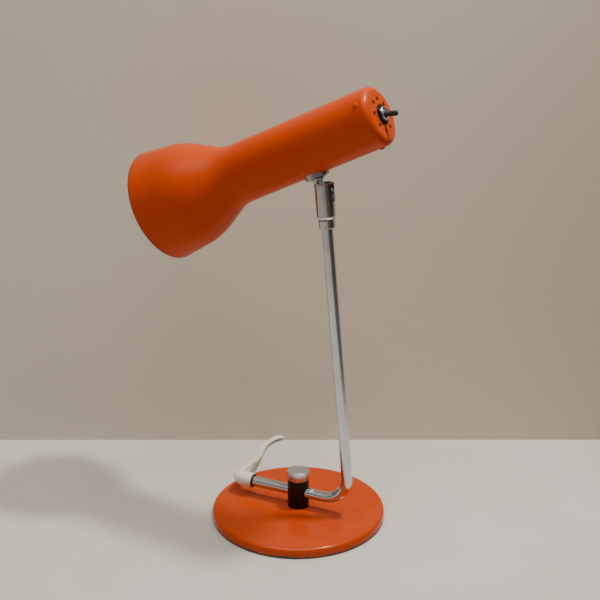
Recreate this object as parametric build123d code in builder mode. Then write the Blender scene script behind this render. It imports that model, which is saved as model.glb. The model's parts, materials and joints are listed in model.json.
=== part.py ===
from build123d import *
import os
from math import acos, asin, atan2, cos, degrees, hypot, pi, radians, sin, sqrt, tan

# Desk lamp: a round enamelled foot, a black clamp post with a chrome knob, a bent chrome
# tube held in the post, a slotted ball joint and a one-piece spun shade with a toggle
# switch in its rear cap. Millimetres. The origin is the centre of the foot on the surface
# that the lamp stands on, +Z is up, and +X runs along the foot tube from the cord's end
# to the bend. Foot tube, arm and shade all lie in the XZ plane, and the mouth points to -X.

# ---- driving dimensions: foot and clamp post
FOOT_R = 80.4
FOOT_TOP = 9.2
FOOT_EDGE_R = 3.4
SHEET = 1.2  # steel sheet of the pressed foot and the rear cap
RIM_LIFT = 0.3  # the foot's rim ends this far above the surface
FELT_H = 1.5
POST_R = 9.9
POST_TOP = 36.6
TUBE_AXIS_Z = 23.7
KNOB_R = 10.1
KNOB_TOP = 45.2
KNOB_GAP = 0.3
CLAMP_THREAD_R = 4.0  # M8
POST_BOLT_R = 3.0  # M6

# ---- driving dimensions: bent tube
TUBE_R = 5.0
TUBE_WALL = 0.8
TUBE_END_X = -47.5
BEND_R = 22.5
BEND_CORNER_X = 51.1
ARM_LEAN = 5.29  # degrees from upright, towards -X
BALL_AT = 285.5  # along the arm's axis from the bend's corner

# ---- driving dimensions: ball joint
BALL_R = 6.5
HOUSING_R = 8.5
HOUSING_ABOVE = 10.0  # above and below the ball's centre
HOUSING_BELOW = 21.2
COLLAR_R = 7.3
COLLAR_H = 7.2
SPIGOT_R = 4.0
NECK_R = 2.8
STUD_R = 4.0  # M8
STUD_BORE_R = 1.9
FLANGE_R = 11.0
RUNNING = 0.05  # radial clearance of a shaft that turns in its hole

# ---- driving dimensions: shade
SHADE_TILT = 24.3  # degrees, rear end up
BALL_BELOW_AXIS = 43.3
BALL_FROM_REAR = 73.0
SHADE_LENGTH = 227.6
SHADE_WALL = 1.0
REAR_R = 25.2
NECK_TAPER = 0.34  # degrees
FLARE_START = 138.8
FLARE_R = 44.2
FLARE_ANGLE = 27.1
FLARE_STRAIGHT = 21.2
BELL_R = 67.4
MOUTH_ANGLE = 7.0
CAP_FACE = -1.3  # the cap's face, from the rear of the fitted length
CAP_EDGE_R = 5.5
CAP_DEPTH = 14.0
CAP_SCREW_FROM_REAR = 8.4
CAP_SCREW_ANGLES = (-57, 63, 183)  # about the shade's axis from its top
VENT_R = 1.9
VENT_CIRCLE_R = 13.5
VENT_COUNT = 8
VENT_START = 12.0  # degrees from the shade's top

# ---- driving dimensions: switch, lampholder and bulb
BUSHING_R = 5.9
LEVER_R = 2.3
LEVER_LENGTH = 13.2
LEVER_TILT = 16.0  # degrees either side of the middle
HOLDER_R = 19.0
HOLDER_FRONT = 128.0
BRACKET_AT = 88.0
BULB_R = 30.0
BULB_CENTRE = 184.0
BULB_CAP_R = 13.1
BULB_CAP_REAR = 107.5
GLASS_WALL = 0.8

# ---- driving dimensions: cord
CORD_R = 2.9  # half the flat cord's width
COIL_CENTRE = (-55, 209)
COIL_IN_R = 19.0
COIL_OUT_R = 47.3
COIL_Z = (0.8, 7.4)
TIE_WALL = 0.8
TIE_WIDTH = 4.0

# The mains cord from its strain relief to the coil, and from the coil to the plug.
CORD_ROUTE = [
    (-67, 14, 23.7),
    (-69, 28, 22.5),
    (-72, 50, 17),
    (-79, 73, 11),
    (-88, 95, 6.5),
    (-92.5, 112, 5),
    (-91.5, 126, 6),
    (-86, 139, 5),
    (-75.5, 149.5, 3.2),
    (-59, 157.5, 3),
    (-30, 172.5, 4),
]
TAIL_ROUTE = [
    (-73.9, 248.7, 5.4),
    (-88, 241, 4.2),
    (-101, 229, 3.2),
    (-111, 214, 4.2),
    (-119.5, 199.5, 7),
]
PLUG_HEADING = 236.0  # degrees from +X, the way the pins point
PLUG_LENGTH = 34.0
PLUG_WIDTH = 35.0
PLUG_THICK = 13.7
PLUG_PIN_R = 2.0
PLUG_PIN_LENGTH = 19.0
PLUG_PIN_PITCH = 18.6

os.makedirs("parts", exist_ok=True)


def keep(piece, name):
    """Label a finished piece and write its STEP file."""
    piece.part.label = name
    export_step(piece.part, f"parts/{name}.step")


# ---- places that follow from the driving dimensions
up_arm = Vector(-sin(radians(ARM_LEAN)), 0, cos(radians(ARM_LEAN)))
bend_corner = Vector(BEND_CORNER_X, 0, TUBE_AXIS_Z)
ball = bend_corner + up_arm * BALL_AT
up_stem = Vector(-sin(radians(SHADE_TILT)), 0, cos(radians(SHADE_TILT)))
to_mouth = Vector(-cos(radians(SHADE_TILT)), 0, -sin(radians(SHADE_TILT)))
rear = ball + up_stem * BALL_BELOW_AXIS - to_mouth * BALL_FROM_REAR

# Joint frame: origin at the ball, local Y along the arm. Sketches are (radius, height).
joint_side = Plane(origin=ball, x_dir=(up_arm.Z, 0, -up_arm.X), z_dir=(0, -1, 0))
joint_axis = Axis(ball, up_arm)
# Stem frame: the same about the stem that carries the shade.
stem_side = Plane(origin=ball, x_dir=(up_stem.Z, 0, -up_stem.X), z_dir=(0, -1, 0))
stem_axis = Axis(ball, up_stem)
# Shade frame: head is square to the shade's axis, with X up, Y across and Z to the mouth.
# shade_side is the plane that holds the axis, and its sketches are (from the rear, radius).
head = Plane(origin=rear, x_dir=up_stem, z_dir=to_mouth)
shade_side = Plane(origin=rear, x_dir=to_mouth, z_dir=(0, 1, 0))
shade_axis = Axis(rear, to_mouth)


def in_head(x, y, z):
    """A point given in the shade's frame, as a point of the lamp's."""
    return head.from_local_coords(Vector(x, y, z))


def across_shade(distance):
    """The plane square to the shade's axis at a distance from the rear."""
    return Plane(origin=rear + to_mouth * distance, x_dir=up_stem, z_dir=to_mouth)


def radial_plane(angle, distance, radius=0.0):
    """The plane whose Z points out from the shade's axis at an angle from the top."""
    out = up_stem * cos(radians(angle)) + Vector(0, 1, 0) * sin(radians(angle))
    centre = rear + to_mouth * distance + out * radius
    return Plane(origin=centre, x_dir=to_mouth, z_dir=out)


def largest_radii(points):
    """For each corner, 0.45 of the shorter run over the tangent of half the turn."""
    corners = [Vector(*point) for point in points]
    radii = []
    for before, here, after in zip(corners, corners[1:], corners[2:]):
        run_in = here - before
        run_out = after - here
        half_turn = radians(run_in.get_angle(run_out)) / 2
        radii.append(0.45 * min(run_in.length, run_out.length) / tan(half_turn))
    return radii


# ================================================================ foot
with BuildPart() as base_plate:
    with BuildSketch(Plane.XY.offset(RIM_LIFT)):
        Circle(FOOT_R)
    extrude(amount=FOOT_TOP - RIM_LIFT)
    fillet(base_plate.faces().sort_by(Axis.Z)[-1].edges(), radius=FOOT_EDGE_R)
    offset(amount=-SHEET, openings=base_plate.faces().sort_by(Axis.Z)[0])
    with BuildSketch(Plane.XY):
        Circle(POST_BOLT_R + 0.3)
    extrude(amount=FOOT_TOP, mode=Mode.SUBTRACT)
keep(base_plate, "base_plate")

WASHER_R = 6.0
WASHER_H = 1.0
BOLT_HEAD_R = 5.0
BOLT_HEAD_H = 3.0
ballast_top = FOOT_TOP - SHEET
ballast_r = FOOT_R - SHEET - 0.4
bolt_seat = ballast_top - 1.6

with BuildPart() as ballast_disc:
    with BuildSketch(Plane.XY.offset(FELT_H)):
        Circle(ballast_r)
    extrude(amount=ballast_top - FELT_H)
    chamfer(ballast_disc.faces().sort_by(Axis.Z)[-1].edges(), length=FOOT_EDGE_R - SHEET + 0.4)
    with BuildSketch(Plane.XY):
        Circle(POST_BOLT_R + 0.3)
    extrude(amount=FOOT_TOP, mode=Mode.SUBTRACT)
    with BuildSketch(Plane.XY):
        Circle(WASHER_R + 0.8)
    extrude(amount=bolt_seat, mode=Mode.SUBTRACT)
keep(ballast_disc, "ballast_disc")

with BuildPart() as felt_pad:
    with BuildSketch():
        Circle(ballast_r - 1.0)
    extrude(amount=FELT_H)
keep(felt_pad, "felt_pad")

with BuildPart() as post_washer:
    with BuildSketch(Plane.XY.offset(bolt_seat - WASHER_H)):
        Circle(WASHER_R)
        Circle(POST_BOLT_R + 0.2, mode=Mode.SUBTRACT)
    extrude(amount=WASHER_H)
keep(post_washer, "post_washer")

with BuildPart() as post_bolt:
    head_top = bolt_seat - WASHER_H
    with BuildSketch(Plane.XY.offset(head_top)):
        Circle(BOLT_HEAD_R)
    extrude(amount=-BOLT_HEAD_H)
    with BuildSketch(Plane.XY.offset(head_top)):
        Circle(POST_BOLT_R)
    extrude(amount=FOOT_TOP + 7.5 - head_top)
    with BuildSketch(Plane.XY.offset(head_top - BOLT_HEAD_H)):
        RegularPolygon(radius=2.9, side_count=6)
    extrude(amount=1.8, mode=Mode.SUBTRACT)
keep(post_bolt, "post_bolt")

# ================================================================ clamp post
foot_axis_plane = Plane(origin=(0, 0, TUBE_AXIS_Z), x_dir=(0, 1, 0), z_dir=(1, 0, 0))

with BuildPart() as clamp_post:
    with BuildSketch(Plane.XY.offset(FOOT_TOP)):
        Circle(POST_R)
    extrude(amount=POST_TOP - FOOT_TOP)
    chamfer(clamp_post.faces().sort_by(Axis.Z)[-1].edges(), length=0.5)
    chamfer(clamp_post.faces().sort_by(Axis.Z)[0].edges(), length=0.4)
    with BuildSketch(foot_axis_plane):
        Circle(TUBE_R + RUNNING)
    extrude(amount=POST_R + 1, both=True, mode=Mode.SUBTRACT)
    with BuildSketch(Plane.XY.offset(POST_TOP)):
        Circle(CLAMP_THREAD_R + RUNNING)
    extrude(amount=TUBE_AXIS_Z - POST_TOP, mode=Mode.SUBTRACT)
    with BuildSketch(Plane.XY.offset(FOOT_TOP)):
        Circle(POST_BOLT_R)
    extrude(amount=8.0, mode=Mode.SUBTRACT)
keep(clamp_post, "clamp_post")

PAD_TOP = TUBE_AXIS_Z + TUBE_R + 2.4
PAD_SADDLE_R = TUBE_R + RUNNING

with BuildPart() as clamp_pad:
    with BuildSketch(Plane.XY.offset(TUBE_AXIS_Z + 2.6)):
        Circle(CLAMP_THREAD_R - RUNNING)
    extrude(amount=PAD_TOP - TUBE_AXIS_Z - 2.6)
    with BuildSketch(foot_axis_plane):
        Circle(PAD_SADDLE_R)
    extrude(amount=CLAMP_THREAD_R + 1, both=True, mode=Mode.SUBTRACT)
keep(clamp_pad, "clamp_pad")

SCREW_END = PAD_TOP + 0.1
SCREW_IN_KNOB = 4.6
KNOB_RING_R = 7.2  # a fine ring cut in the knob's top

with BuildPart() as clamp_screw:
    with BuildSketch(Plane.XY.offset(SCREW_END)):
        Circle(CLAMP_THREAD_R)
    extrude(amount=POST_TOP + KNOB_GAP + SCREW_IN_KNOB - SCREW_END)
    chamfer(clamp_screw.faces().sort_by(Axis.Z)[0].edges(), length=0.6)
keep(clamp_screw, "clamp_screw")

with BuildPart() as clamp_knob:
    with BuildSketch(Plane.XY.offset(POST_TOP + KNOB_GAP)):
        Circle(KNOB_R)
    extrude(amount=KNOB_TOP - POST_TOP - KNOB_GAP)
    chamfer(clamp_knob.faces().sort_by(Axis.Z)[-1].edges(), length=0.7)
    fillet(clamp_knob.faces().sort_by(Axis.Z)[0].edges(), radius=0.4)
    with BuildSketch(Plane.XY.offset(POST_TOP + KNOB_GAP)):
        Circle(CLAMP_THREAD_R)
    extrude(amount=SCREW_IN_KNOB, mode=Mode.SUBTRACT)
    with BuildSketch(Plane.XY.offset(KNOB_TOP)):
        Circle(KNOB_RING_R + 0.2)
        Circle(KNOB_RING_R - 0.2, mode=Mode.SUBTRACT)
    extrude(amount=-0.25, mode=Mode.SUBTRACT)
keep(clamp_knob, "clamp_knob")

# ================================================================ bent tube
COLLAR_TOP = -HOUSING_BELOW - 0.25  # heights from the ball's centre along the arm
COLLAR_FOOT = COLLAR_TOP - COLLAR_H
TUBE_TOP = COLLAR_TOP - 1.4


def tube_route(start_x, top):
    """The bent axis from a point of the foot tube to a height on the arm."""
    return FilletPolyline(
        (start_x, 0, TUBE_AXIS_Z),
        bend_corner,
        ball + up_arm * top,
        radius=BEND_R,
    )


with BuildPart() as arm_tube:
    with BuildLine():
        tube_route(TUBE_END_X, TUBE_TOP)
    with BuildSketch(Plane(origin=(TUBE_END_X, 0, TUBE_AXIS_Z), x_dir=(0, 1, 0), z_dir=(1, 0, 0))):
        Circle(TUBE_R)
        Circle(TUBE_R - TUBE_WALL, mode=Mode.SUBTRACT)
    sweep()
keep(arm_tube, "arm_tube")

FLEX_R = 1.9
SPIGOT_REACH = 9.5  # the grip's spigot inside the tube

with BuildPart() as arm_flex:
    with BuildLine():
        tube_route(TUBE_END_X + SPIGOT_REACH + 1.5, TUBE_TOP - 1.0)
    with BuildSketch(
        Plane(
            origin=(TUBE_END_X + SPIGOT_REACH + 1.5, 0, TUBE_AXIS_Z),
            x_dir=(0, 1, 0),
            z_dir=(1, 0, 0),
        )
    ):
        Circle(FLEX_R)
    sweep()
keep(arm_flex, "arm_flex")

FERRULE_R = 6.2
FERRULE_H = 1.3

with BuildPart() as tube_ferrule:
    with BuildSketch(Plane(origin=(TUBE_END_X, 0, TUBE_AXIS_Z), x_dir=(0, 1, 0), z_dir=(1, 0, 0))):
        Circle(FERRULE_R)
        Circle(TUBE_R, mode=Mode.SUBTRACT)
    extrude(amount=FERRULE_H)
    chamfer(tube_ferrule.edges().group_by(Axis.X)[-1].sort_by(SortBy.LENGTH)[-1], length=0.5)
keep(tube_ferrule, "tube_ferrule")

# ================================================================ cord grip
GRIP_R = 7.0
GRIP_BEND_X = -62.0
OUTLET_ROOT_R = 5.6
OUTLET_END_R = 3.7
GRIP_FACE_X = TUBE_END_X - 0.3
outlet_end = Vector(*CORD_ROUTE[0])
outlet_root = Vector(GRIP_BEND_X - 1.5, 0, TUBE_AXIS_Z)
outlet_way = (outlet_end - outlet_root).normalized()

with BuildPart() as cord_grip:
    with BuildSketch(Plane(origin=(GRIP_FACE_X, 0, TUBE_AXIS_Z), x_dir=(0, 1, 0), z_dir=(-1, 0, 0))):
        Circle(GRIP_R)
    extrude(amount=GRIP_FACE_X - GRIP_BEND_X)
    with Locations((GRIP_BEND_X, 0, TUBE_AXIS_Z)):
        Sphere(GRIP_R)
    outlet_side = Plane(origin=outlet_root, x_dir=(0, 0, 1), z_dir=outlet_way)
    with BuildSketch(outlet_side):
        Circle(OUTLET_ROOT_R)
    with BuildSketch(outlet_side.offset((outlet_end - outlet_root).length)):
        Circle(OUTLET_END_R)
    loft()
    with BuildSketch(Plane(origin=(GRIP_FACE_X, 0, TUBE_AXIS_Z), x_dir=(0, 1, 0), z_dir=(1, 0, 0))):
        Circle(TUBE_R - TUBE_WALL - 0.1)
    extrude(amount=SPIGOT_REACH)
    with BuildSketch(
        Plane(origin=(GRIP_BEND_X, 0, TUBE_AXIS_Z), x_dir=(0, 1, 0), z_dir=(1, 0, 0))
    ):
        Circle(CORD_R - 0.5)
    extrude(amount=SPIGOT_REACH - GRIP_BEND_X, mode=Mode.SUBTRACT)
keep(cord_grip, "cord_grip")

# ================================================================ mains cord, coil and plug


def cord_line(points):
    """The cord's axis: straight runs joined by the largest tangent arcs."""
    radii = largest_radii(points)
    print("cord bend radii:", [round(radius, 1) for radius in radii])
    return FilletPolyline(*points, radius=radii)


def first_plane(points):
    """The plane square to the first run, at its start."""
    start = Vector(*points[0])
    return Plane(origin=start, z_dir=Vector(*points[1]) - start)


with BuildPart() as mains_cord:
    with BuildLine():
        cord_line(CORD_ROUTE)
    with BuildSketch(first_plane(CORD_ROUTE)):
        Circle(CORD_R)
    sweep()
keep(mains_cord, "mains_cord")

with BuildPart() as cord_tail:
    with BuildLine():
        cord_line(TAIL_ROUTE)
    with BuildSketch(first_plane(TAIL_ROUTE)):
        Circle(CORD_R)
    sweep()
keep(cord_tail, "cord_tail")

with BuildPart() as cord_coil:
    with BuildSketch(Plane.XY.offset(COIL_Z[0])):
        with Locations(COIL_CENTRE):
            Circle(COIL_OUT_R)
            Circle(COIL_IN_R, mode=Mode.SUBTRACT)
    extrude(amount=COIL_Z[1] - COIL_Z[0])
keep(cord_coil, "cord_coil")

coil_middle_r = (COIL_IN_R + COIL_OUT_R) / 2
TIE_ANGLE = 200.0
tie_centre = Vector(*COIL_CENTRE) + Vector(1, 0).rotate(Axis.Z, TIE_ANGLE) * coil_middle_r

with BuildPart() as cord_tie:
    tie_plane = Plane(
        origin=(tie_centre.X, tie_centre.Y, (COIL_Z[0] + COIL_Z[1]) / 2),
        x_dir=Vector(1, 0).rotate(Axis.Z, TIE_ANGLE),
        z_dir=Vector(1, 0).rotate(Axis.Z, TIE_ANGLE + 90),
    )
    with BuildSketch(tie_plane):
        Rectangle(COIL_OUT_R - COIL_IN_R + 2 * TIE_WALL + 0.6, COIL_Z[1] - COIL_Z[0] + 2 * TIE_WALL)
        Rectangle(COIL_OUT_R - COIL_IN_R + 0.6, COIL_Z[1] - COIL_Z[0], mode=Mode.SUBTRACT)
    extrude(amount=TIE_WIDTH / 2, both=True)
keep(cord_tie, "cord_tie")

plug_way = Vector(1, 0).rotate(Axis.Z, PLUG_HEADING)
plug_entry = Plane(origin=TAIL_ROUTE[-1], x_dir=plug_way.rotate(Axis.Z, 90), z_dir=plug_way)

with BuildPart() as plug_body:
    with BuildSketch(plug_entry):
        Circle(CORD_R + 1.2)
    with BuildSketch(plug_entry.offset(10)):
        RectangleRounded(14, 9.5, 3)
    with BuildSketch(plug_entry.offset(22)):
        RectangleRounded(PLUG_WIDTH - 3, PLUG_THICK - 1, 4)
    with BuildSketch(plug_entry.offset(PLUG_LENGTH)):
        RectangleRounded(PLUG_WIDTH, PLUG_THICK, 4)
    loft(ruled=True)
keep(plug_body, "plug_body")

with BuildPart() as plug_pins:
    with BuildSketch(plug_entry.offset(PLUG_LENGTH)):
        with GridLocations(PLUG_PIN_PITCH, 0, 2, 1):
            Circle(PLUG_PIN_R)
    extrude(amount=PLUG_PIN_LENGTH)
    fillet(plug_pins.edges().group_by(Axis(TAIL_ROUTE[-1], plug_way))[-1], radius=1.2)
keep(plug_pins, "plug_pins")

with BuildPart() as plug_sleeves:
    with BuildSketch(plug_entry.offset(PLUG_LENGTH)):
        with GridLocations(PLUG_PIN_PITCH, 0, 2, 1):
            Circle(PLUG_PIN_R + 0.25)
            Circle(PLUG_PIN_R, mode=Mode.SUBTRACT)
    extrude(amount=PLUG_PIN_LENGTH / 2)
keep(plug_sleeves, "plug_sleeves")

# ================================================================ joint collar and slotted housing
HOUSING_FLOOR = -14.0
LIP_R = 4.9

with BuildPart() as joint_collar:
    with BuildSketch(joint_side):
        with BuildLine():
            Polyline(
                (TUBE_R, COLLAR_FOOT),
                (COLLAR_R - 0.5, COLLAR_FOOT),
                (COLLAR_R, COLLAR_FOOT + 0.5),
                (COLLAR_R, COLLAR_TOP - 0.4),
                (COLLAR_R - 0.4, COLLAR_TOP),
                (SPIGOT_R, COLLAR_TOP),
                (SPIGOT_R, HOUSING_FLOOR + RUNNING),
                (LIP_R, HOUSING_FLOOR + RUNNING),
                (SPIGOT_R, HOUSING_FLOOR + 1.0),
                (2.4, HOUSING_FLOOR + 1.0),
                (2.4, TUBE_TOP),
                (TUBE_R, TUBE_TOP),
                (TUBE_R, COLLAR_FOOT),
            )
        make_face()
    revolve(axis=joint_axis)
keep(joint_collar, "joint_collar")

CAVITY_R = BALL_R + RUNNING
THROAT_H = 4.0
throat_r = sqrt(CAVITY_R**2 - THROAT_H**2)
MOUTH_R = 7.6
HOUSING_GROOVE = -HOUSING_BELOW + 3.3
SHOULDER_TOP = -HOUSING_BELOW + 3.0
SHOULDER_R = HOUSING_R - 1.7
SLOT_HALF = NECK_R + 0.3
SLOT_BOTTOM = -6.0

with BuildPart() as joint_housing:
    with BuildSketch(joint_side):
        with BuildLine():
            Polyline(
                (MOUTH_R, HOUSING_ABOVE),
                (HOUSING_R - 0.3, HOUSING_ABOVE),
                (HOUSING_R, HOUSING_ABOVE - 0.4),
                (HOUSING_R, HOUSING_ABOVE - 1.4),
                (HOUSING_R - 0.2, HOUSING_ABOVE - 1.6),
                (HOUSING_R, HOUSING_ABOVE - 1.8),
                (HOUSING_R, HOUSING_GROOVE + 0.3),
                (HOUSING_R - 0.3, HOUSING_GROOVE),
                (HOUSING_R, SHOULDER_TOP),
            )
            ThreePointArc(
                (HOUSING_R, SHOULDER_TOP),
                (HOUSING_R - 0.55, SHOULDER_TOP - 1.7),
                (SHOULDER_R, -HOUSING_BELOW),
            )
            Polyline(
                (SHOULDER_R, -HOUSING_BELOW),
                (SPIGOT_R + RUNNING, -HOUSING_BELOW),
                (SPIGOT_R + RUNNING, HOUSING_FLOOR),
                (CAVITY_R, HOUSING_FLOOR),
                (CAVITY_R, 0),
            )
            CenterArc((0, 0), CAVITY_R, 0, degrees(asin(THROAT_H / CAVITY_R)))
            Line((throat_r, THROAT_H), (MOUTH_R, HOUSING_ABOVE))
        make_face()
    revolve(axis=joint_axis)
    slot_side = Plane(origin=ball, x_dir=(0, 1, 0), z_dir=(up_arm.Z, 0, -up_arm.X))
    with BuildSketch(slot_side):
        with Locations((0, (HOUSING_ABOVE + 1 + SLOT_BOTTOM + SLOT_HALF) / 2)):
            Rectangle(2 * SLOT_HALF, HOUSING_ABOVE + 1 - SLOT_BOTTOM - SLOT_HALF)
        with Locations((0, SLOT_BOTTOM + SLOT_HALF)):
            Circle(SLOT_HALF)
    extrude(amount=HOUSING_R + 1, mode=Mode.SUBTRACT)
keep(joint_housing, "joint_housing")

SEAT_TOP = -2.2
SEAT_FOOT = -8.6
seat_rim_r = sqrt(CAVITY_R**2 - SEAT_TOP**2)

with BuildPart() as ball_seat:
    with BuildSketch(joint_side):
        with BuildLine():
            Polyline(
                (2.4, -sqrt(CAVITY_R**2 - 2.4**2)),
                (2.4, SEAT_FOOT),
                (CAVITY_R - 0.05, SEAT_FOOT),
                (CAVITY_R - 0.05, SEAT_TOP),
                (seat_rim_r, SEAT_TOP),
            )
            ThreePointArc(
                (seat_rim_r, SEAT_TOP),
                (CAVITY_R * cos(radians(-45)), CAVITY_R * sin(radians(-45))),
                (2.4, -sqrt(CAVITY_R**2 - 2.4**2)),
            )
        make_face()
    revolve(axis=joint_axis)
keep(ball_seat, "ball_seat")

SPRING_IN = 5.3
SPRING_OUT = 6.4
SPRING_WIRE = 0.45
SPRING_WAVES = 3
wave = (SEAT_FOOT - HOUSING_FLOOR - SPRING_WIRE) / SPRING_WAVES
inner_side = [
    (SPRING_IN if i % 2 else SPRING_OUT - 0.3, HOUSING_FLOOR + i * wave)
    for i in range(SPRING_WAVES + 1)
]
outer_side = [(r + 0.3, h + SPRING_WIRE) for r, h in reversed(inner_side)]

with BuildPart() as seat_spring:
    with BuildSketch(joint_side):
        with BuildLine():
            Polyline(*inner_side, *outer_side, inner_side[0])
        make_face()
    revolve(axis=joint_axis)
keep(seat_spring, "seat_spring")

# ================================================================ ball stud
STUD_COLLAR_R = 5.2
STUD_COLLAR_FOOT = 12.6
FLANGE_FOOT = 14.2
STUD_TOP = 27.5
neck_leaves_ball = sqrt(BALL_R**2 - NECK_R**2)

with BuildPart() as ball_stud:
    with BuildSketch(stem_side):
        with BuildLine():
            CenterArc(
                (0, 0),
                BALL_R,
                -degrees(acos(STUD_BORE_R / BALL_R)),
                degrees(acos(STUD_BORE_R / BALL_R)) + degrees(acos(NECK_R / BALL_R)),
            )
            Polyline(
                (NECK_R, neck_leaves_ball),
                (NECK_R, STUD_COLLAR_FOOT - 0.8),
                (NECK_R + 0.8, STUD_COLLAR_FOOT),
                (STUD_COLLAR_R, STUD_COLLAR_FOOT),
                (STUD_COLLAR_R, FLANGE_FOOT),
                (STUD_R, FLANGE_FOOT),
                (STUD_R, STUD_TOP - 0.6),
                (STUD_R - 0.6, STUD_TOP),
                (STUD_BORE_R, STUD_TOP),
                (STUD_BORE_R, -sqrt(BALL_R**2 - STUD_BORE_R**2)),
            )
        make_face()
    revolve(axis=stem_axis)
keep(ball_stud, "ball_stud")

# ================================================================ shade
SHADE_START = CAP_FACE + CAP_EDGE_R


def shade_outline(inset):
    """The shade's outline, moved towards its axis: rear tube, flare, bell and mouth."""
    rear_tube = Line(
        (SHADE_START, REAR_R - inset),
        (FLARE_START, REAR_R - inset + (FLARE_START - SHADE_START) * tan(radians(NECK_TAPER))),
    )
    flare = JernArc(
        start=rear_tube @ 1,
        tangent=rear_tube % 1,
        radius=FLARE_R + inset,
        arc_size=FLARE_ANGLE - NECK_TAPER,
    )
    cone = Line(flare @ 1, flare @ 1 + (flare % 1) * FLARE_STRAIGHT)
    bell = JernArc(
        start=cone @ 1,
        tangent=cone % 1,
        radius=BELL_R - inset,
        arc_size=MOUTH_ANGLE - FLARE_ANGLE,
    )
    to_rim = (SHADE_LENGTH - (bell @ 1).X) / (bell % 1).X
    mouth = Line(bell @ 1, bell @ 1 + (bell % 1) * to_rim)
    return rear_tube @ 0, mouth @ 1


with BuildPart() as shade:
    with BuildSketch(shade_side):
        with BuildLine():
            outer_start, outer_rim = shade_outline(0)
            inner_start, inner_rim = shade_outline(SHADE_WALL)
            Line(outer_rim, inner_rim)
            Line(outer_start, inner_start)
        make_face()
    revolve(axis=shade_axis)
    for angle in CAP_SCREW_ANGLES:
        with BuildSketch(radial_plane(angle, CAP_SCREW_FROM_REAR, REAR_R - 3)):
            Circle(1.6)
        extrude(amount=5, mode=Mode.SUBTRACT)
    with BuildSketch(radial_plane(180, BALL_FROM_REAR, REAR_R - 3)):
        Circle(STUD_R + RUNNING)
    extrude(amount=5, mode=Mode.SUBTRACT)
keep(shade, "shade")

print("shade mouth radius:", round(outer_rim.Y, 2))

cap_skirt_r = REAR_R - SHADE_WALL - 0.05
cap_inside = CAP_FACE + SHEET
SCREW_R = 1.45

with BuildPart() as rear_cap:
    with BuildSketch(shade_side):
        with BuildLine():
            face = Line((CAP_FACE, 0), (CAP_FACE, REAR_R - CAP_EDGE_R))
            edge = JernArc(start=face @ 1, tangent=face % 1, radius=CAP_EDGE_R, arc_size=-90)
            Polyline(
                edge @ 1,
                (SHADE_START, cap_skirt_r),
                (CAP_DEPTH, cap_skirt_r),
                (CAP_DEPTH, cap_skirt_r - SHEET),
                (SHADE_START, cap_skirt_r - SHEET),
            )
            inner_edge_r = CAP_EDGE_R - SHEET - REAR_R + cap_skirt_r
            CenterArc(
                (SHADE_START, cap_skirt_r - SHEET - inner_edge_r),
                inner_edge_r,
                90,
                90,
            )
            Polyline(
                (SHADE_START - inner_edge_r, cap_skirt_r - SHEET - inner_edge_r),
                (cap_inside, cap_skirt_r - SHEET - inner_edge_r),
                (cap_inside, 0),
                (CAP_FACE, 0),
            )
        make_face()
    revolve(axis=shade_axis)
    with BuildSketch(across_shade(CAP_FACE - 1)):
        Circle(BUSHING_R + 0.1)
        with PolarLocations(VENT_CIRCLE_R, VENT_COUNT, start_angle=VENT_START):
            Circle(VENT_R)
    extrude(amount=CAP_DEPTH / 2, mode=Mode.SUBTRACT)
    for angle in CAP_SCREW_ANGLES:
        with BuildSketch(radial_plane(angle, CAP_SCREW_FROM_REAR, REAR_R - 4)):
            Circle(SCREW_R)
        extrude(amount=5, mode=Mode.SUBTRACT)
keep(rear_cap, "rear_cap")

SCREW_HEAD_R = 2.3
SCREW_HEAD_H = 1.2
SCREW_EDGE_H = 0.3
SCREW_UNDER = REAR_R + 0.05
screw_rise = SCREW_HEAD_H - SCREW_EDGE_H
screw_dome_r = (SCREW_HEAD_R**2 + screw_rise**2) / (2 * screw_rise)
screw_dome_half = degrees(asin(SCREW_HEAD_R / screw_dome_r))

with BuildPart() as cap_screws:
    for angle in CAP_SCREW_ANGLES:
        screw_plane = radial_plane(angle, CAP_SCREW_FROM_REAR)
        with BuildSketch(Plane(origin=screw_plane.origin, x_dir=to_mouth, z_dir=-screw_plane.y_dir)):
            with BuildLine():
                Polyline(
                    (0, SCREW_UNDER + SCREW_HEAD_H),
                    (0, SCREW_UNDER - 3.4),
                    (SCREW_R, SCREW_UNDER - 3.4),
                    (SCREW_R, SCREW_UNDER),
                    (SCREW_HEAD_R, SCREW_UNDER),
                    (SCREW_HEAD_R, SCREW_UNDER + SCREW_EDGE_H),
                )
                CenterArc(
                    (0, SCREW_UNDER + SCREW_HEAD_H - screw_dome_r),
                    screw_dome_r,
                    90 - screw_dome_half,
                    screw_dome_half,
                )
            make_face()
        revolve(axis=Axis(screw_plane.origin, screw_plane.z_dir))
        with BuildSketch(screw_plane.offset(SCREW_UNDER + SCREW_HEAD_H)):
            Rectangle(2 * SCREW_HEAD_R + 1, 0.6)
        extrude(amount=-0.55, mode=Mode.SUBTRACT)
keep(cap_screws, "cap_screws")

# ================================================================ shade to ball joint
FLANGE_BLANK = 6.0  # its upper face is then cut to the shade's curve
FLANGE_DISH = 1.8  # its underside is dished, so its rim is thin
FLANGE_BOSS_R = 6.0
FLANGE_GAP = 0.02  # running clearance over the stud's collar
flange_underside = FLANGE_FOOT + FLANGE_GAP
flange_seat_r = REAR_R + BALL_FROM_REAR * tan(radians(NECK_TAPER)) + 0.1

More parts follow.
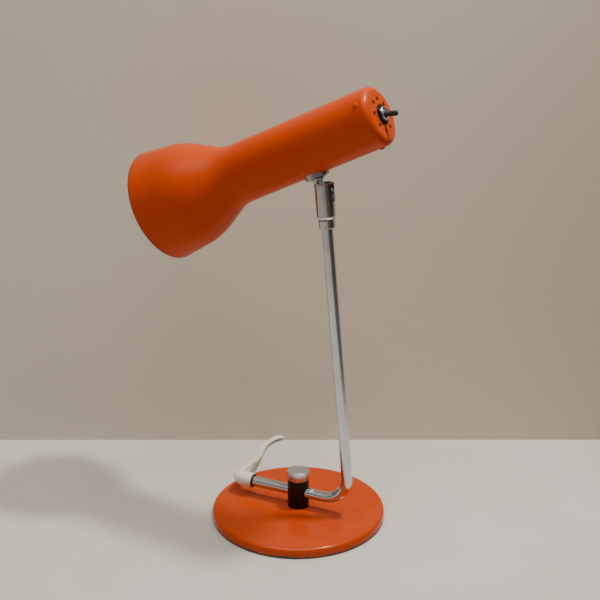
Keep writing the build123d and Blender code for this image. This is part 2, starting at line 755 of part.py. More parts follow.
with BuildPart() as flange_washer:
    with BuildSketch(stem_side):
        with BuildLine():
            ThreePointArc(
                (FLANGE_BOSS_R, flange_underside),
                ((FLANGE_BOSS_R + FLANGE_R) / 2, flange_underside + 0.35 * FLANGE_DISH),
                (FLANGE_R, flange_underside + FLANGE_DISH),
            )
            Polyline(
                (FLANGE_R, flange_underside + FLANGE_DISH),
                (FLANGE_R, flange_underside + FLANGE_BLANK),
                (STUD_R + RUNNING, flange_underside + FLANGE_BLANK),
                (STUD_R + RUNNING, flange_underside),
                (FLANGE_BOSS_R, flange_underside),
            )
        make_face()
    revolve(axis=stem_axis)
    with BuildSketch(head):
        Circle(flange_seat_r)
    extrude(amount=SHADE_LENGTH / 2, mode=Mode.SUBTRACT)
keep(flange_washer, "flange_washer")

BRACKET_T = 1.5
BRACKET_W = 12.0
BRACKET_START = 62.0  # its foot runs from here, past the stud, to BRACKET_AT
BRACKET_REACH = 9.0  # beyond the shade's axis
bracket_foot_x = -sqrt((REAR_R - SHADE_WALL) ** 2 - (BRACKET_W / 2) ** 2) + 0.05

with BuildPart() as holder_bracket:
    with BuildSketch(Plane(origin=rear, x_dir=to_mouth, z_dir=(0, 1, 0))):
        with BuildLine():
            Polyline(
                (BRACKET_START, bracket_foot_x),
                (BRACKET_AT + BRACKET_T, bracket_foot_x),
                (BRACKET_AT + BRACKET_T, BRACKET_REACH),
                (BRACKET_AT, BRACKET_REACH),
                (BRACKET_AT, bracket_foot_x + BRACKET_T),
                (BRACKET_START, bracket_foot_x + BRACKET_T),
                (BRACKET_START, bracket_foot_x),
            )
        make_face()
    extrude(amount=BRACKET_W / 2, both=True)
    with BuildSketch(across_shade(BRACKET_AT - 1)):
        Circle(5.05)
    extrude(amount=BRACKET_T + 2, mode=Mode.SUBTRACT)
    with BuildSketch(radial_plane(180, BALL_FROM_REAR, -bracket_foot_x - 4)):
        Circle(STUD_R + RUNNING)
    extrude(amount=8, mode=Mode.SUBTRACT)
keep(holder_bracket, "holder_bracket")

with BuildPart() as stud_nut:
    with BuildSketch(radial_plane(180, BALL_FROM_REAR, -bracket_foot_x - BRACKET_T)):
        RegularPolygon(radius=7.5, side_count=6)
        Circle(STUD_R + RUNNING, mode=Mode.SUBTRACT)
    extrude(amount=-4.6)
keep(stud_nut, "stud_nut")

# ================================================================ lampholder and bulb
holder_rear = BRACKET_AT + BRACKET_T
SHELL_R = 14.1
SHELL_T = 0.5
SOCKET_FLOOR = 106.0
NIPPLE_R = 5.0
NIPPLE_BORE_R = 3.4

with BuildPart() as lampholder:
    with BuildSketch(shade_side):
        with BuildLine():
            Polyline(
                (holder_rear, NIPPLE_R),
                (holder_rear, 8.5),
                (holder_rear + 4, 9),
                (holder_rear + 12, HOLDER_R - 1),
                (holder_rear + 14, HOLDER_R),
                (HOLDER_FRONT - 9, HOLDER_R),
                (HOLDER_FRONT - 8, HOLDER_R + 1.2),
                (HOLDER_FRONT - 5, HOLDER_R + 1.2),
                (HOLDER_FRONT - 4, HOLDER_R),
                (HOLDER_FRONT - 1.5, HOLDER_R - 0.5),
                (HOLDER_FRONT, HOLDER_R - 2),
                (HOLDER_FRONT, SHELL_R),
                (SOCKET_FLOOR, SHELL_R),
                (SOCKET_FLOOR, NIPPLE_R),
                (holder_rear, NIPPLE_R),
            )
        make_face()
    revolve(axis=shade_axis)
keep(lampholder, "lampholder")

with BuildPart() as holder_shell:
    with BuildSketch(shade_side):
        with BuildLine():
            Polyline(
                (SOCKET_FLOOR, 4),
                (SOCKET_FLOOR, SHELL_R),
                (HOLDER_FRONT - 3, SHELL_R),
                (HOLDER_FRONT - 3, SHELL_R - SHELL_T),
                (SOCKET_FLOOR + SHELL_T, SHELL_R - SHELL_T),
                (SOCKET_FLOOR + SHELL_T, 4),
                (SOCKET_FLOOR, 4),
            )
        make_face()
    revolve(axis=shade_axis)
keep(holder_shell, "holder_shell")

with BuildPart() as holder_nipple:
    with BuildSketch(across_shade(BRACKET_AT - 6)):
        Circle(NIPPLE_R)
        Circle(NIPPLE_BORE_R, mode=Mode.SUBTRACT)
    extrude(amount=holder_rear + 8 - BRACKET_AT + 6)
keep(holder_nipple, "holder_nipple")

with BuildPart() as nipple_nut:
    with BuildSketch(across_shade(BRACKET_AT)):
        RegularPolygon(radius=8.0, side_count=6)
        Circle(NIPPLE_R, mode=Mode.SUBTRACT)
    extrude(amount=-3)
keep(nipple_nut, "nipple_nut")

NECK_AT = 131.0
NECK_GLASS_R = 13.4


def bulb_outline(inset):
    """The bulb's glass from neck to tip: a cone that runs tangent into a sphere."""
    neck = Vector(NECK_AT, NECK_GLASS_R - inset)
    sphere_r = BULB_R - inset
    reach = hypot(BULB_CENTRE - neck.X, neck.Y)
    slope = asin(sphere_r / reach) - atan2(neck.Y, BULB_CENTRE - neck.X)
    shoulder = Line(neck, neck + Vector(cos(slope), sin(slope)) * sqrt(reach**2 - sphere_r**2))
    CenterArc((BULB_CENTRE, 0), sphere_r, 0, 90 + degrees(slope))
    return shoulder @ 0


with BuildPart() as bulb_glass:
    with BuildSketch(shade_side):
        with BuildLine():
            outer_neck = bulb_outline(0)
            inner_neck = bulb_outline(GLASS_WALL)
            Line(outer_neck, inner_neck)
            Line((BULB_CENTRE + BULB_R, 0), (BULB_CENTRE + BULB_R - GLASS_WALL, 0))
        make_face()
    revolve(axis=shade_axis)
keep(bulb_glass, "bulb_glass")

with BuildPart() as bulb_cap:
    with BuildSketch(shade_side):
        with BuildLine():
            Polyline(
                (BULB_CAP_REAR + 4, 5),
                (BULB_CAP_REAR + 5, BULB_CAP_R),
                (NECK_AT, BULB_CAP_R),
                (NECK_AT, BULB_CAP_R - 0.5),
                (BULB_CAP_REAR + 5.5, BULB_CAP_R - 0.5),
                (BULB_CAP_REAR + 4.5, 5),
                (BULB_CAP_REAR + 4, 5),
            )
        make_face()
    revolve(axis=shade_axis)
keep(bulb_cap, "bulb_cap")

with BuildPart() as bulb_contact:
    with BuildSketch(across_shade(BULB_CAP_REAR)):
        Circle(4)
    with BuildSketch(across_shade(BULB_CAP_REAR + 5)):
        Circle(5)
    loft()
keep(bulb_contact, "bulb_contact")

# ================================================================ switch
SWITCH_W = 13.0
SWITCH_L = 21.0
SWITCH_D = 15.0
BUSHING_END = CAP_FACE - 3.6
PIVOT_AT = CAP_FACE - 0.5
LEVER_BALL_R = 4.4
bushing_bore_r = LEVER_BALL_R + 0.1
switch_rear = cap_inside + SWITCH_D

with BuildPart() as switch_body:
    with BuildSketch(across_shade(cap_inside)):
        Rectangle(SWITCH_L, SWITCH_W)
    extrude(amount=SWITCH_D)
    fillet(switch_body.edges().filter_by(shade_axis), radius=1.0)
    with BuildSketch(across_shade(cap_inside)):
        Circle(bushing_bore_r + 0.4)
    extrude(amount=6, mode=Mode.SUBTRACT)
keep(switch_body, "switch_body")

with BuildPart() as switch_bushing:
    with BuildSketch(shade_side):
        with BuildLine():
            Polyline(
                (cap_inside, BUSHING_R),
                (BUSHING_END + 0.5, BUSHING_R),
                (BUSHING_END, BUSHING_R - 0.5),
                (BUSHING_END, bushing_bore_r + 0.3),
                (BUSHING_END + 0.3, bushing_bore_r),
                (cap_inside, bushing_bore_r),
                (cap_inside, BUSHING_R),
            )
        make_face()
    revolve(axis=shade_axis)
keep(switch_bushing, "switch_bushing")

WASHER_T = 0.5
WASHER_OUT_R = 8.4
NUT_CORNER_R = 8.3
NUT_H = 1.8

with BuildPart() as switch_washer:
    with BuildSketch(across_shade(CAP_FACE)):
        Circle(WASHER_OUT_R)
        Circle(BUSHING_R + 0.1, mode=Mode.SUBTRACT)
    extrude(amount=-WASHER_T)
keep(switch_washer, "switch_washer")

with BuildPart() as switch_nut:
    with BuildSketch(across_shade(CAP_FACE - WASHER_T)):
        RegularPolygon(radius=NUT_CORNER_R, side_count=6)
        Circle(BUSHING_R, mode=Mode.SUBTRACT)
    extrude(amount=-NUT_H)
keep(switch_nut, "switch_nut")

pivot = rear + to_mouth * PIVOT_AT
lever_way = (-to_mouth).rotate(Axis.Y, LEVER_TILT)
lever_side = Plane(origin=pivot, x_dir=lever_way, z_dir=(0, 1, 0))
LEVER_ROOT_R = 2.7
LEVER_ROOT_END = 6.6  # the root's cone, along the lever from its pivot
LEVER_TIP_R = 1.2
root_angle = degrees(asin(LEVER_ROOT_R / LEVER_BALL_R))

with BuildPart() as toggle_lever:
    with BuildSketch(lever_side):
        with BuildLine():
            CenterArc((0, 0), LEVER_BALL_R, root_angle, 180 - root_angle)
            Line((-LEVER_BALL_R, 0), (LEVER_LENGTH, 0))
            Line((LEVER_LENGTH, 0), (LEVER_LENGTH, LEVER_R - LEVER_TIP_R))
            CenterArc((LEVER_LENGTH - LEVER_TIP_R, LEVER_R - LEVER_TIP_R), LEVER_TIP_R, 0, 90)
            Polyline(
                (LEVER_LENGTH - LEVER_TIP_R, LEVER_R),
                (LEVER_ROOT_END, LEVER_R),
                (sqrt(LEVER_BALL_R**2 - LEVER_ROOT_R**2), LEVER_ROOT_R),
            )
        make_face()
    revolve(axis=Axis(pivot, lever_way))
keep(toggle_lever, "toggle_lever")

TERMINAL_X = 6.0

with BuildPart() as switch_terminals:
    with BuildSketch(across_shade(switch_rear)):
        with GridLocations(2 * TERMINAL_X, 0, 2, 1):
            Rectangle(0.8, 4.5)
    extrude(amount=7)
keep(switch_terminals, "switch_terminals")

# ================================================================ inner leads
LEAD_R = 1.0
LEAD_BEND = 5.0
terminal_end = switch_rear + 8.0
lead_routes = [
    [(TERMINAL_X, 0, terminal_end), (18, 0, terminal_end + 14), (18, 0, 88), (14.5, 0, 96)],
    [(-TERMINAL_X, 0, terminal_end), (-8, -1.2, 44), (-10.5, -1.2, 66), (-14.6, -1.0, 71.6)],
]

with BuildPart() as head_leads:
    for route in lead_routes:
        points = [in_head(*point) for point in route]
        with BuildLine():
            FilletPolyline(*points, radius=LEAD_BEND)
        with BuildSketch(Plane(origin=points[0], z_dir=points[1] - points[0])):
            Circle(LEAD_R)
        sweep()
keep(head_leads, "head_leads")

# ================================================================ what the record needs
print("ball centre:", ball)
print("rear centre:", rear)
print("lever pivot:", pivot)
print("up the arm:", up_arm)
print("up the stem:", up_stem)
print("knob travel per radian:", 1.25 / (2 * pi))
for name, piece in (("mains_cord", mains_cord), ("cord_tail", cord_tail)):
    section = pi * CORD_R**2
    print(name, "length from volume:", round(piece.part.volume / section, 1))
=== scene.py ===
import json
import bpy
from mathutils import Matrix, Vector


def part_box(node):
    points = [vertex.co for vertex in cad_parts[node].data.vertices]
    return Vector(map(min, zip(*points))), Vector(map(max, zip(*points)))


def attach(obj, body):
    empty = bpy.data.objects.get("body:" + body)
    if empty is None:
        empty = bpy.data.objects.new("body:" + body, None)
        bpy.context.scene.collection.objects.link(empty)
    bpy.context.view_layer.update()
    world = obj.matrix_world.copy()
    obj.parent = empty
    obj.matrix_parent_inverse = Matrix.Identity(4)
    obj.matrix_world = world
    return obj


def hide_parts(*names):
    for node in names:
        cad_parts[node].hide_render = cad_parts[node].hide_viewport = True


bl_info = {
    "name": "Spotlight desk lamp",
    "version": (1, 0, 0),
    "blender": (4, 5, 0),
    "location": "View3D > Sidebar > Desk lamp",
    "description": "Dresses a spotlight desk lamp in enamel, chrome and flex round its packed frame",
    "category": "Object",
}

from math import cos, pi, radians, sin, sqrt, tan

import bmesh
import bpy
from mathutils import Matrix, Vector

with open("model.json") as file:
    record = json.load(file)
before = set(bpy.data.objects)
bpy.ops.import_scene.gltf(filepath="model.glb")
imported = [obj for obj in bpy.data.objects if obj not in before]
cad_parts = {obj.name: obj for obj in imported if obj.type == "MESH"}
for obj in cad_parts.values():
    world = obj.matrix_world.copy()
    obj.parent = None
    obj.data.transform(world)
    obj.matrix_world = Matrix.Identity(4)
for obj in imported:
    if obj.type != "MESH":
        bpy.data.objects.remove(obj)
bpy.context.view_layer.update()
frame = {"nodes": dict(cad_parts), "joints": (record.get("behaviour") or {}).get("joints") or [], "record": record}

# ---------------------------------------------------------------- places from the frame
MM = 0.001
JOINTS = {joint["name"]: joint for joint in frame["joints"]}
BALL = Vector(JOINTS["shade_tilt"]["pos_m"])
UP_ARM = Vector(JOINTS["housing_swivel"]["axis"]).normalized()
UP_STEM = Vector(JOINTS["shade_turn"]["axis"]).normalized()
TO_MOUTH = Vector((-UP_STEM.z, 0, UP_STEM.x))
TUBE_AXIS_Z = JOINTS["arm_roll"]["pos_m"][2]
FOOT_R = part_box("base_plate")[1].x
FOOT_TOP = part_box("base_plate")[1].z
TUBE_END_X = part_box("arm_tube")[0].x

BALL_BELOW_AXIS = 43.3 * MM  # from the ball's centre to the shade's axis
BALL_FROM_REAR = 73.0 * MM
REAR = BALL + UP_STEM * BALL_BELOW_AXIS - TO_MOUTH * BALL_FROM_REAR


def axis_place(origin, axis, side):
    """A placement whose Z is the axis and whose X is as near to side as it can be."""
    up = axis.normalized()
    across = (side - up * side.dot(up)).normalized()
    place = Matrix((across, up.cross(across), up)).transposed().to_4x4()
    place.translation = origin
    return place


UPRIGHT = Matrix.Identity(4)
SHADE_PLACE = axis_place(REAR, TO_MOUTH, UP_STEM)

# ---------------------------------------------------------------- sizes of the turned and bent work
SHEET = 1.2 * MM
FOOT_EDGE_R = 3.4 * MM
RIM_LIFT = 0.3 * MM
POST_HOLE_R = 3.3 * MM
KNOB_FOOT = 36.9 * MM
KNOB_TOP = 45.2 * MM
KNOB_R = 10.1 * MM
KNOB_THREAD_R = 4.0 * MM
KNOB_THREAD_H = 4.6 * MM
KNOB_RING_R = 7.2 * MM
TUBE_R = 5.0 * MM
TUBE_BORE_R = 4.2 * MM
BEND_R = 22.5 * MM
BEND_CORNER_X = 51.1 * MM
TUBE_TOP = 262.65 * MM  # along the arm from the bend's corner
SHADE_LENGTH = 227.6 * MM
SHADE_WALL = 1.0 * MM
SHADE_REAR_R = 25.2 * MM
CAP_FACE = -1.3 * MM  # the cap's face, from the rear of the fitted length
CAP_EDGE_R = 5.5 * MM
SHADE_START = CAP_FACE + CAP_EDGE_R
NECK_TAPER = 0.34  # degrees
FLARE_START = 138.8 * MM
FLARE_R = 44.2 * MM
FLARE_ANGLE = 27.1
FLARE_STRAIGHT = 21.2 * MM
BELL_R = 67.4 * MM
MOUTH_ANGLE = 7.0
VENT_R = 1.9 * MM
VENT_CIRCLE_R = 13.5 * MM
VENT_COUNT = 8
VENT_START = 12.0  # degrees
BUSHING_HOLE_R = 6.0 * MM
THREAD_PITCH = 0.75 * MM  # of the switch's bushing
CAP_DEPTH = 14.0 * MM

# ---------------------------------------------------------------- the flex's route, in millimetres
ROUTE = (
    (-67, 14, 23.7),
    (-69, 28, 22.5),
    (-72, 50, 17),
    (-79, 73, 11),
    (-88, 95, 5.9),
    (-92.5, 112, 3.6),
    (-91.5, 126, 4.2),
    (-86, 139, 3.4),
    (-75.5, 149.5, 1.9),
    (-59, 157.5, 1.8),
    (-44, 165.2, 2.0),
)
TAIL = (
    (-88, 241, 4.2),
    (-101, 229, 3.2),
    (-111, 214, 4.2),
    (-119.5, 199.5, 7),
)
PLUG_HEADING = 236.0  # degrees from +X
COIL_CENTRE = (-55, 209)
COIL_START = -55.5  # degrees
COIL_OUTER_R = 44.2
COIL_INNER_R = 21.7
COIL_TURNS_IN = 3.5
COIL_TURNS_OUT = 3.975
COIL_LOW = 2.35
COIL_HIGH = 5.55
POINTS_A_TURN = 16
TIE_ANGLE = 200  # degrees round the coil
TIE_INNER_R = 19.0
TIE_OUTER_R = 47.3
TIE_HALF_LONG = 14.75
TIE_CORNER_R = 2.6
TWIST_STEPS = 48
PLUG_RIBS = 5
PLUG_RIB_PITCH = 2.6
PLUG_RIB_GROWTH = 0.42
PLUG_SIDES = 72
GRIP_CORNER_X = -63.5
GRIP_ROUND_OFF = 6.5


# ================================================================ settings
def colour_setting(name, description, default):
    """A colour property."""
    return bpy.props.FloatVectorProperty(
        name=name, description=description, subtype="COLOR", min=0.0, max=1.0, default=default
    )


def share_setting(name, description, default, least=0.0):
    """A property from 0 to 1."""
    return bpy.props.FloatProperty(
        name=name, description=description, subtype="FACTOR", min=least, max=1.0, default=default
    )


class LampFinishes(bpy.types.PropertyGroup):
    """Colours and surface qualities."""

    enamel: colour_setting(
        "Enamel", "Colour of the orange enamel on the foot, the shade and the cap", (0.50, 0.048, 0.001)
    )
    shade_inside: colour_setting(
        "Shade inside", "Colour of the reflecting enamel inside the shade", (0.80, 0.78, 0.72)
    )
    chrome: colour_setting(
        "Chrome", "Tint of the chrome plate", (0.62, 0.635, 0.66)
    )
    ivory: colour_setting(
        "Ivory", "Colour of the flex, the cord grip and the plug", (0.78, 0.72, 0.60)
    )
    enamel_roughness: share_setting("Enamel roughness", "How blurred the enamel's reflections are", 0.13)
    wear: share_setting("Wear", "How much of the edges has lost its paint", 0.5)


class LampFlex(bpy.types.PropertyGroup):
    """Sizes of the flat twin flex."""

    width: bpy.props.FloatProperty(
        name="Width",
        description="Width of the flat twin flex",
        subtype="DISTANCE",
        unit="LENGTH",
        min=0.002,
        max=0.01,
        precision=4,
        default=0.0058,
    )
    thickness: bpy.props.FloatProperty(
        name="Thickness",
        description="Thickness of the flat twin flex over one core",
        subtype="DISTANCE",
        unit="LENGTH",
        min=0.001,
        max=0.006,
        precision=4,
        default=0.0030,
    )
    groove: share_setting("Groove", "Thickness at the groove, as a share of the full thickness", 0.62, 0.2)


class LampStage(bpy.types.PropertyGroup):
    """The table, the wall and the light."""

    table: colour_setting(
        "Table", "Colour of the table top", (0.62, 0.58, 0.51)
    )
    wall: colour_setting(
        "Wall", "Colour of the wall behind", (0.68, 0.60, 0.485)
    )
    wall_distance: bpy.props.FloatProperty(
        name="Wall distance",
        description="From the lamp's foot to the wall",
        subtype="DISTANCE",
        unit="LENGTH",
        min=0.05,
        max=2.0,
        default=0.16,
    )
    key_power: bpy.props.FloatProperty(
        name="Key light",
        description="Power of the light above, in watts",
        unit="POWER",
        min=0.0,
        max=500.0,
        default=13.0,
    )
    lens: bpy.props.FloatProperty(
        name="Lens",
        description="Focal length on a 36 mm sensor, in millimetres",
        min=20.0,
        max=200.0,
        default=63.0,
    )


# ================================================================ node trees
def feed(tree, socket, value):
    """Link a socket to another, or set its own value. A None leaves it alone."""
    if value is None:
        return
    if isinstance(value, bpy.types.NodeSocket):
        tree.links.new(value, socket)
    else:
        socket.default_value = value


def add(tree, kind, *ordered, settings=None, **named):
    """Add a node, with its inputs in order or by name, where _ stands for a space."""
    node = tree.nodes.new(kind)
    node.location = (len(tree.nodes) * 40, -(len(tree.nodes) % 8) * 160)
    for key, value in (settings or {}).items():
        setattr(node, key, value)
    for socket, value in zip(node.inputs, ordered):
        feed(tree, socket, value)
    for key, value in named.items():
        feed(tree, node.inputs[key.replace("_", " ")], value)
    return node


def maths(tree, operation, *values, clamp=False):
    """The result of a Math node, for shader and geometry trees alike."""
    settings = {"operation": operation, "use_clamp": clamp}
    return add(tree, "ShaderNodeMath", *values, settings=settings).outputs[0]


def vector_maths(tree, operation, *values):
    """The vector result of a Vector Math node."""
    return add(tree, "ShaderNodeVectorMath", *values, settings={"operation": operation}).outputs[0]


def reach_along(tree, vector, axis):
    """How far a vector reaches along an axis."""
    settings = {"operation": "DOT_PRODUCT"}
    return add(tree, "ShaderNodeVectorMath", vector, tuple(axis), settings=settings).outputs["Value"]


def mix_colour(tree, share, first, second):
    """A colour that goes from first to second as share goes from 0 to 1."""
    node = add(tree, "ShaderNodeMix", settings={"data_type": "RGBA"})
    feed(tree, node.inputs[0], share)
    feed(tree, node.inputs[6], first)
    feed(tree, node.inputs[7], second)
    return node.outputs[2]


def ramp(tree, value, low, high, out_low=0.0, out_high=1.0):
    """Value taken from the range low to high to a new range, smoothly and clamped."""
    node = add(
        tree,
        "ShaderNodeMapRange",
        value,
        low,
        high,
        out_low,
        out_high,
        settings={"interpolation_type": "SMOOTHSTEP"},
    )
    return node.outputs[0]


def noise(tree, place, scale, detail=3.0, roughness=0.5):
    """The grey value of a noise texture."""
    node = add(
        tree,
        "ShaderNodeTexNoise",
        Vector=place,
        Scale=scale,
        Detail=detail,
        Roughness=roughness,
    )
    return node.outputs["Fac"]


def shader_group(name, inputs, outputs):
    """A new shader node group with float inputs {name: value} and float outputs."""
    tree = bpy.data.node_groups.new(name, "ShaderNodeTree")
    for label, value in inputs.items():
        socket = tree.interface.new_socket(label, in_out="INPUT", socket_type="NodeSocketFloat")
        socket.default_value = value
    for label in outputs:
        tree.interface.new_socket(label, in_out="OUTPUT", socket_type="NodeSocketFloat")
    return tree, tree.nodes.new("NodeGroupInput").outputs, tree.nodes.new("NodeGroupOutput").inputs


def effect(tree, group, **values):
    """The outputs of a shader node group placed in a material."""
    node = tree.nodes.new("ShaderNodeGroup")
    node.node_tree = group
    for key, value in values.items():
        feed(tree, node.inputs[key.replace("_", " ")], value)
    return node.outputs


def object_place(tree):
    """Object coordinates."""
    return add(tree, "ShaderNodeTexCoord").outputs["Object"]


def build_chip_group():
    """Paint lost at edges: a mask of small chips, and the step down into them."""
    tree, given, out = shader_group("Lamp chips", {"Edge": 0.0, "Amount": 0.5, "Scale": 420.0}, ["Mask"])
    place = object_place(tree)
    fine = noise(tree, place, given["Scale"], 4.0, 0.62)
    broad = noise(tree, place, maths(tree, "MULTIPLY", given["Scale"], 0.16), 2.0)
    mottle = maths(tree, "ADD", maths(tree, "MULTIPLY", fine, 0.6), maths(tree, "MULTIPLY", broad, 0.4))
    reach = maths(tree, "MULTIPLY", given["Edge"], maths(tree, "ADD", 0.32, given["Amount"]))
    feed(tree, out["Mask"], ramp(tree, maths(tree, "ADD", mottle, reach), 0.93, 0.97))
    return tree


def build_speck_group():
    """Rare small pits scattered over a surface."""
    tree, given, out = shader_group("Lamp specks", {"Scale": 60.0, "Size": 0.05}, ["Mask"])
    place = object_place(tree)
    cells = add(tree, "ShaderNodeTexVoronoi", Vector=place, Scale=given["Scale"], Randomness=1.0)
    rare = ramp(tree, noise(tree, place, maths(tree, "MULTIPLY", given["Scale"], 0.31), 1.0), 0.60, 0.64)
    spot = maths(tree, "LESS_THAN", cells.outputs["Distance"], given["Size"])
    feed(tree, out["Mask"], maths(tree, "MULTIPLY", spot, rare))
    return tree


def build_smudge_group():
    """Handling marks: a soft change of roughness."""
    inputs = {"Roughness": 0.1, "Spread": 0.1, "Scale": 30.0}
    tree, given, out = shader_group("Lamp smudges", inputs, ["Roughness"])
    place = object_place(tree)
    cloud = noise(tree, place, given["Scale"], 4.0, 0.6)
    wipe = noise(tree, place, maths(tree, "MULTIPLY", given["Scale"], 5.0), 2.0)
    blend = maths(tree, "ADD", maths(tree, "MULTIPLY", cloud, 0.75), maths(tree, "MULTIPLY", wipe, 0.25))
    share = ramp(tree, blend, 0.38, 0.68)
    feed(tree, out["Roughness"], maths(tree, "MULTIPLY_ADD", share, given["Spread"], given["Roughness"]))
    return tree


def build_dust_group():
    """Dust that settles on what faces up, thicker in patches."""
    tree, given, out = shader_group("Lamp dust", {"Amount": 0.2, "Scale": 45.0}, ["Mask"])
    coordinates = add(tree, "ShaderNodeTexCoord")
    up = add(tree, "ShaderNodeSeparateXYZ", coordinates.outputs["Normal"]).outputs["Z"]
    level = ramp(tree, up, 0.55, 1.0)
    patches = ramp(tree, noise(tree, coordinates.outputs["Object"], given["Scale"], 5.0, 0.65), 0.35, 0.8)
    feed(tree, out["Mask"], maths(tree, "MULTIPLY", maths(tree, "MULTIPLY", level, patches), given["Amount"]))
    return tree


class Finish:
    """A new material with its Principled shader, and short ways to feed it."""

    def __init__(self, name, **sockets):
        self.material = bpy.data.materials.new(name)
        self.material.use_nodes = True
        self.tree = self.material.node_tree
        self.shader = self.tree.nodes["Principled BSDF"]
        for key, value in sockets.items():
            self.set(key.replace("_", " "), value)
        self.place = object_place(self.tree)

    def set(self, socket, value):
        """Set or link one socket of the shader."""
        if socket.endswith("Color") and isinstance(value, (tuple, list)) and len(value) == 3:
            value = (*value, 1.0)
        feed(self.tree, self.shader.inputs[socket], value)

    def bump(self, height, distance, strength=1.0):
        """Put a height through a Bump node to the shader's normal."""
        node = add(self.tree, "ShaderNodeBump", Strength=strength, Distance=distance, Height=height)
        self.set("Normal", node.outputs["Normal"])

    def attribute(self, name):
        """The value of a mesh attribute."""
        return add(self.tree, "ShaderNodeAttribute", settings={"attribute_name": name}).outputs["Fac"]


GROUPS = {}


def build_groups():
    """Build each shared effect once."""
    GROUPS["chips"] = build_chip_group()
    GROUPS["specks"] = build_speck_group()
    GROUPS["smudges"] = build_smudge_group()
    GROUPS["dust"] = build_dust_group()


# ================================================================ finishes
def rgba(colour):
    """A colour with full alpha."""
    return (*colour[:3], 1.0)


def enamel_finish(name, colour, inside, roughness, wear, edged=True, gloss_level=0.12):
    """Stoved orange enamel: light orange peel, dust, pits, and chips down to dark steel."""
    finish = Finish(name, Specular_IOR_Level=gloss_level)
    tree = finish.tree
    shift = noise(tree, finish.place, 14.0, 2.0)
    deeper = tuple(channel * share for channel, share in zip(colour, (0.95, 0.90, 0.8)))
    paint = mix_colour(tree, ramp(tree, shift, 0.3, 0.7), rgba(colour), rgba(deeper))
    if inside is not None:
        paint = mix_colour(tree, finish.attribute("inside"), paint, rgba(inside))
    dust = effect(tree, GROUPS["dust"], Amount=0.03)["Mask"]
    paint = mix_colour(tree, dust, paint, (0.55, 0.47, 0.38, 1.0))
    pits = effect(tree, GROUPS["specks"], Scale=110.0, Size=0.035)["Mask"]
    bare = pits
    if edged:
        chips = effect(
            tree, GROUPS["chips"], Edge=finish.attribute("edge"), Amount=wear, Scale=430.0
        )["Mask"]
        bare = maths(tree, "MAXIMUM", pits, chips)
    rust = ramp(tree, noise(tree, finish.place, 900.0), 0.4, 0.6)
    steel = mix_colour(tree, rust, (0.035, 0.022, 0.018, 1), (0.11, 0.09, 0.08, 1))
    finish.set("Base Color", mix_colour(tree, bare, paint, steel))
    gloss = effect(tree, GROUPS["smudges"], Roughness=roughness, Spread=0.05, Scale=26.0)["Roughness"]
    finish.set("Roughness", maths(tree, "MAXIMUM", maths(tree, "MULTIPLY", bare, 0.6), gloss))
    peel = noise(tree, finish.place, 620.0, 2.0, 0.5)
    height = maths(tree, "SUBTRACT", maths(tree, "MULTIPLY", peel, 0.06), bare)
    finish.bump(height, 0.00006, 0.30)
    return finish.material


def chrome_finish(name, colour, roughness=0.05, spread=0.10, turned=None, threads=None):
    """Chrome plate with handling marks, fine wipe scratches and small pits.

    turned gives an axis's origin and direction for turning marks, threads the same for a thread.
    """
    finish = Finish(name, Metallic=1.0)
    tree = finish.tree
    pits = effect(tree, GROUPS["specks"], Scale=260.0, Size=0.07)["Mask"]
    cloud = ramp(tree, noise(tree, finish.place, 60.0, 4.0, 0.6), 0.35, 0.75)
    grey = tuple(channel * 0.86 for channel in colour)
    plate = mix_colour(tree, cloud, rgba(colour), rgba(grey))
    finish.set("Base Color", mix_colour(tree, pits, plate, (0.16, 0.13, 0.11, 1.0)))
    gloss = effect(tree, GROUPS["smudges"], Roughness=roughness, Spread=spread, Scale=48.0)["Roughness"]
    height = noise(tree, finish.place, 1500.0, 2.0)
    depth = 0.000012
    if turned is not None:
        rings = ring_height(tree, finish.place, *turned)
        top = finish.attribute("machined")
        gloss = maths(tree, "MULTIPLY_ADD", top, 0.20, gloss)
        height = maths(tree, "MULTIPLY_ADD", maths(tree, "MULTIPLY", rings, top), 4.0, height)
    if threads is not None:
        height = thread_height(tree, finish.place, *threads)
        depth = 0.00035
    finish.set("Roughness", maths(tree, "MULTIPLY_ADD", pits, 0.3, gloss))
    finish.bump(height, depth, 0.6)
    return finish.material


def ring_height(tree, place, origin, axis):
    """A fine ripple in rings about an axis."""
    local = vector_maths(tree, "SUBTRACT", place, tuple(origin))
    along = reach_along(tree, local, axis)
    reach = add(tree, "ShaderNodeVectorMath", local, settings={"operation": "LENGTH"}).outputs["Value"]
    square = maths(tree, "SUBTRACT", maths(tree, "POWER", reach, 2.0), maths(tree, "POWER", along, 2.0))
    radius = maths(tree, "SQRT", maths(tree, "MAXIMUM", square, 0.0))
    return noise(tree, add(tree, "ShaderNodeCombineXYZ", radius).outputs[0], 5200.0, 3.0)


def thread_height(tree, place, origin, axis):
    """A ripple of one thread's pitch along an axis."""
    local = vector_maths(tree, "SUBTRACT", place, tuple(origin))
    return maths(tree, "PINGPONG", maths(tree, "DIVIDE", reach_along(tree, local, axis), THREAD_PITCH), 0.5)


def steel_finish(name, colour=(0.42, 0.42, 0.43), roughness=0.28):
    """Zinc or nickel plated steel with a dull bloom."""
    finish = Finish(name, Metallic=1.0)
    tree = finish.tree
    bloom = ramp(tree, noise(tree, finish.place, 130.0, 5.0, 0.65), 0.35, 0.7)
    dull = tuple(channel * 0.72 for channel in colour)
    finish.set("Base Color", mix_colour(tree, bloom, rgba(colour), rgba(dull)))
    gloss = effect(tree, GROUPS["smudges"], Roughness=roughness, Spread=0.16, Scale=90.0)["Roughness"]
    finish.set("Roughness", gloss)
    finish.bump(noise(tree, finish.place, 2200.0, 2.0), 0.00002, 0.5)
    return finish.material


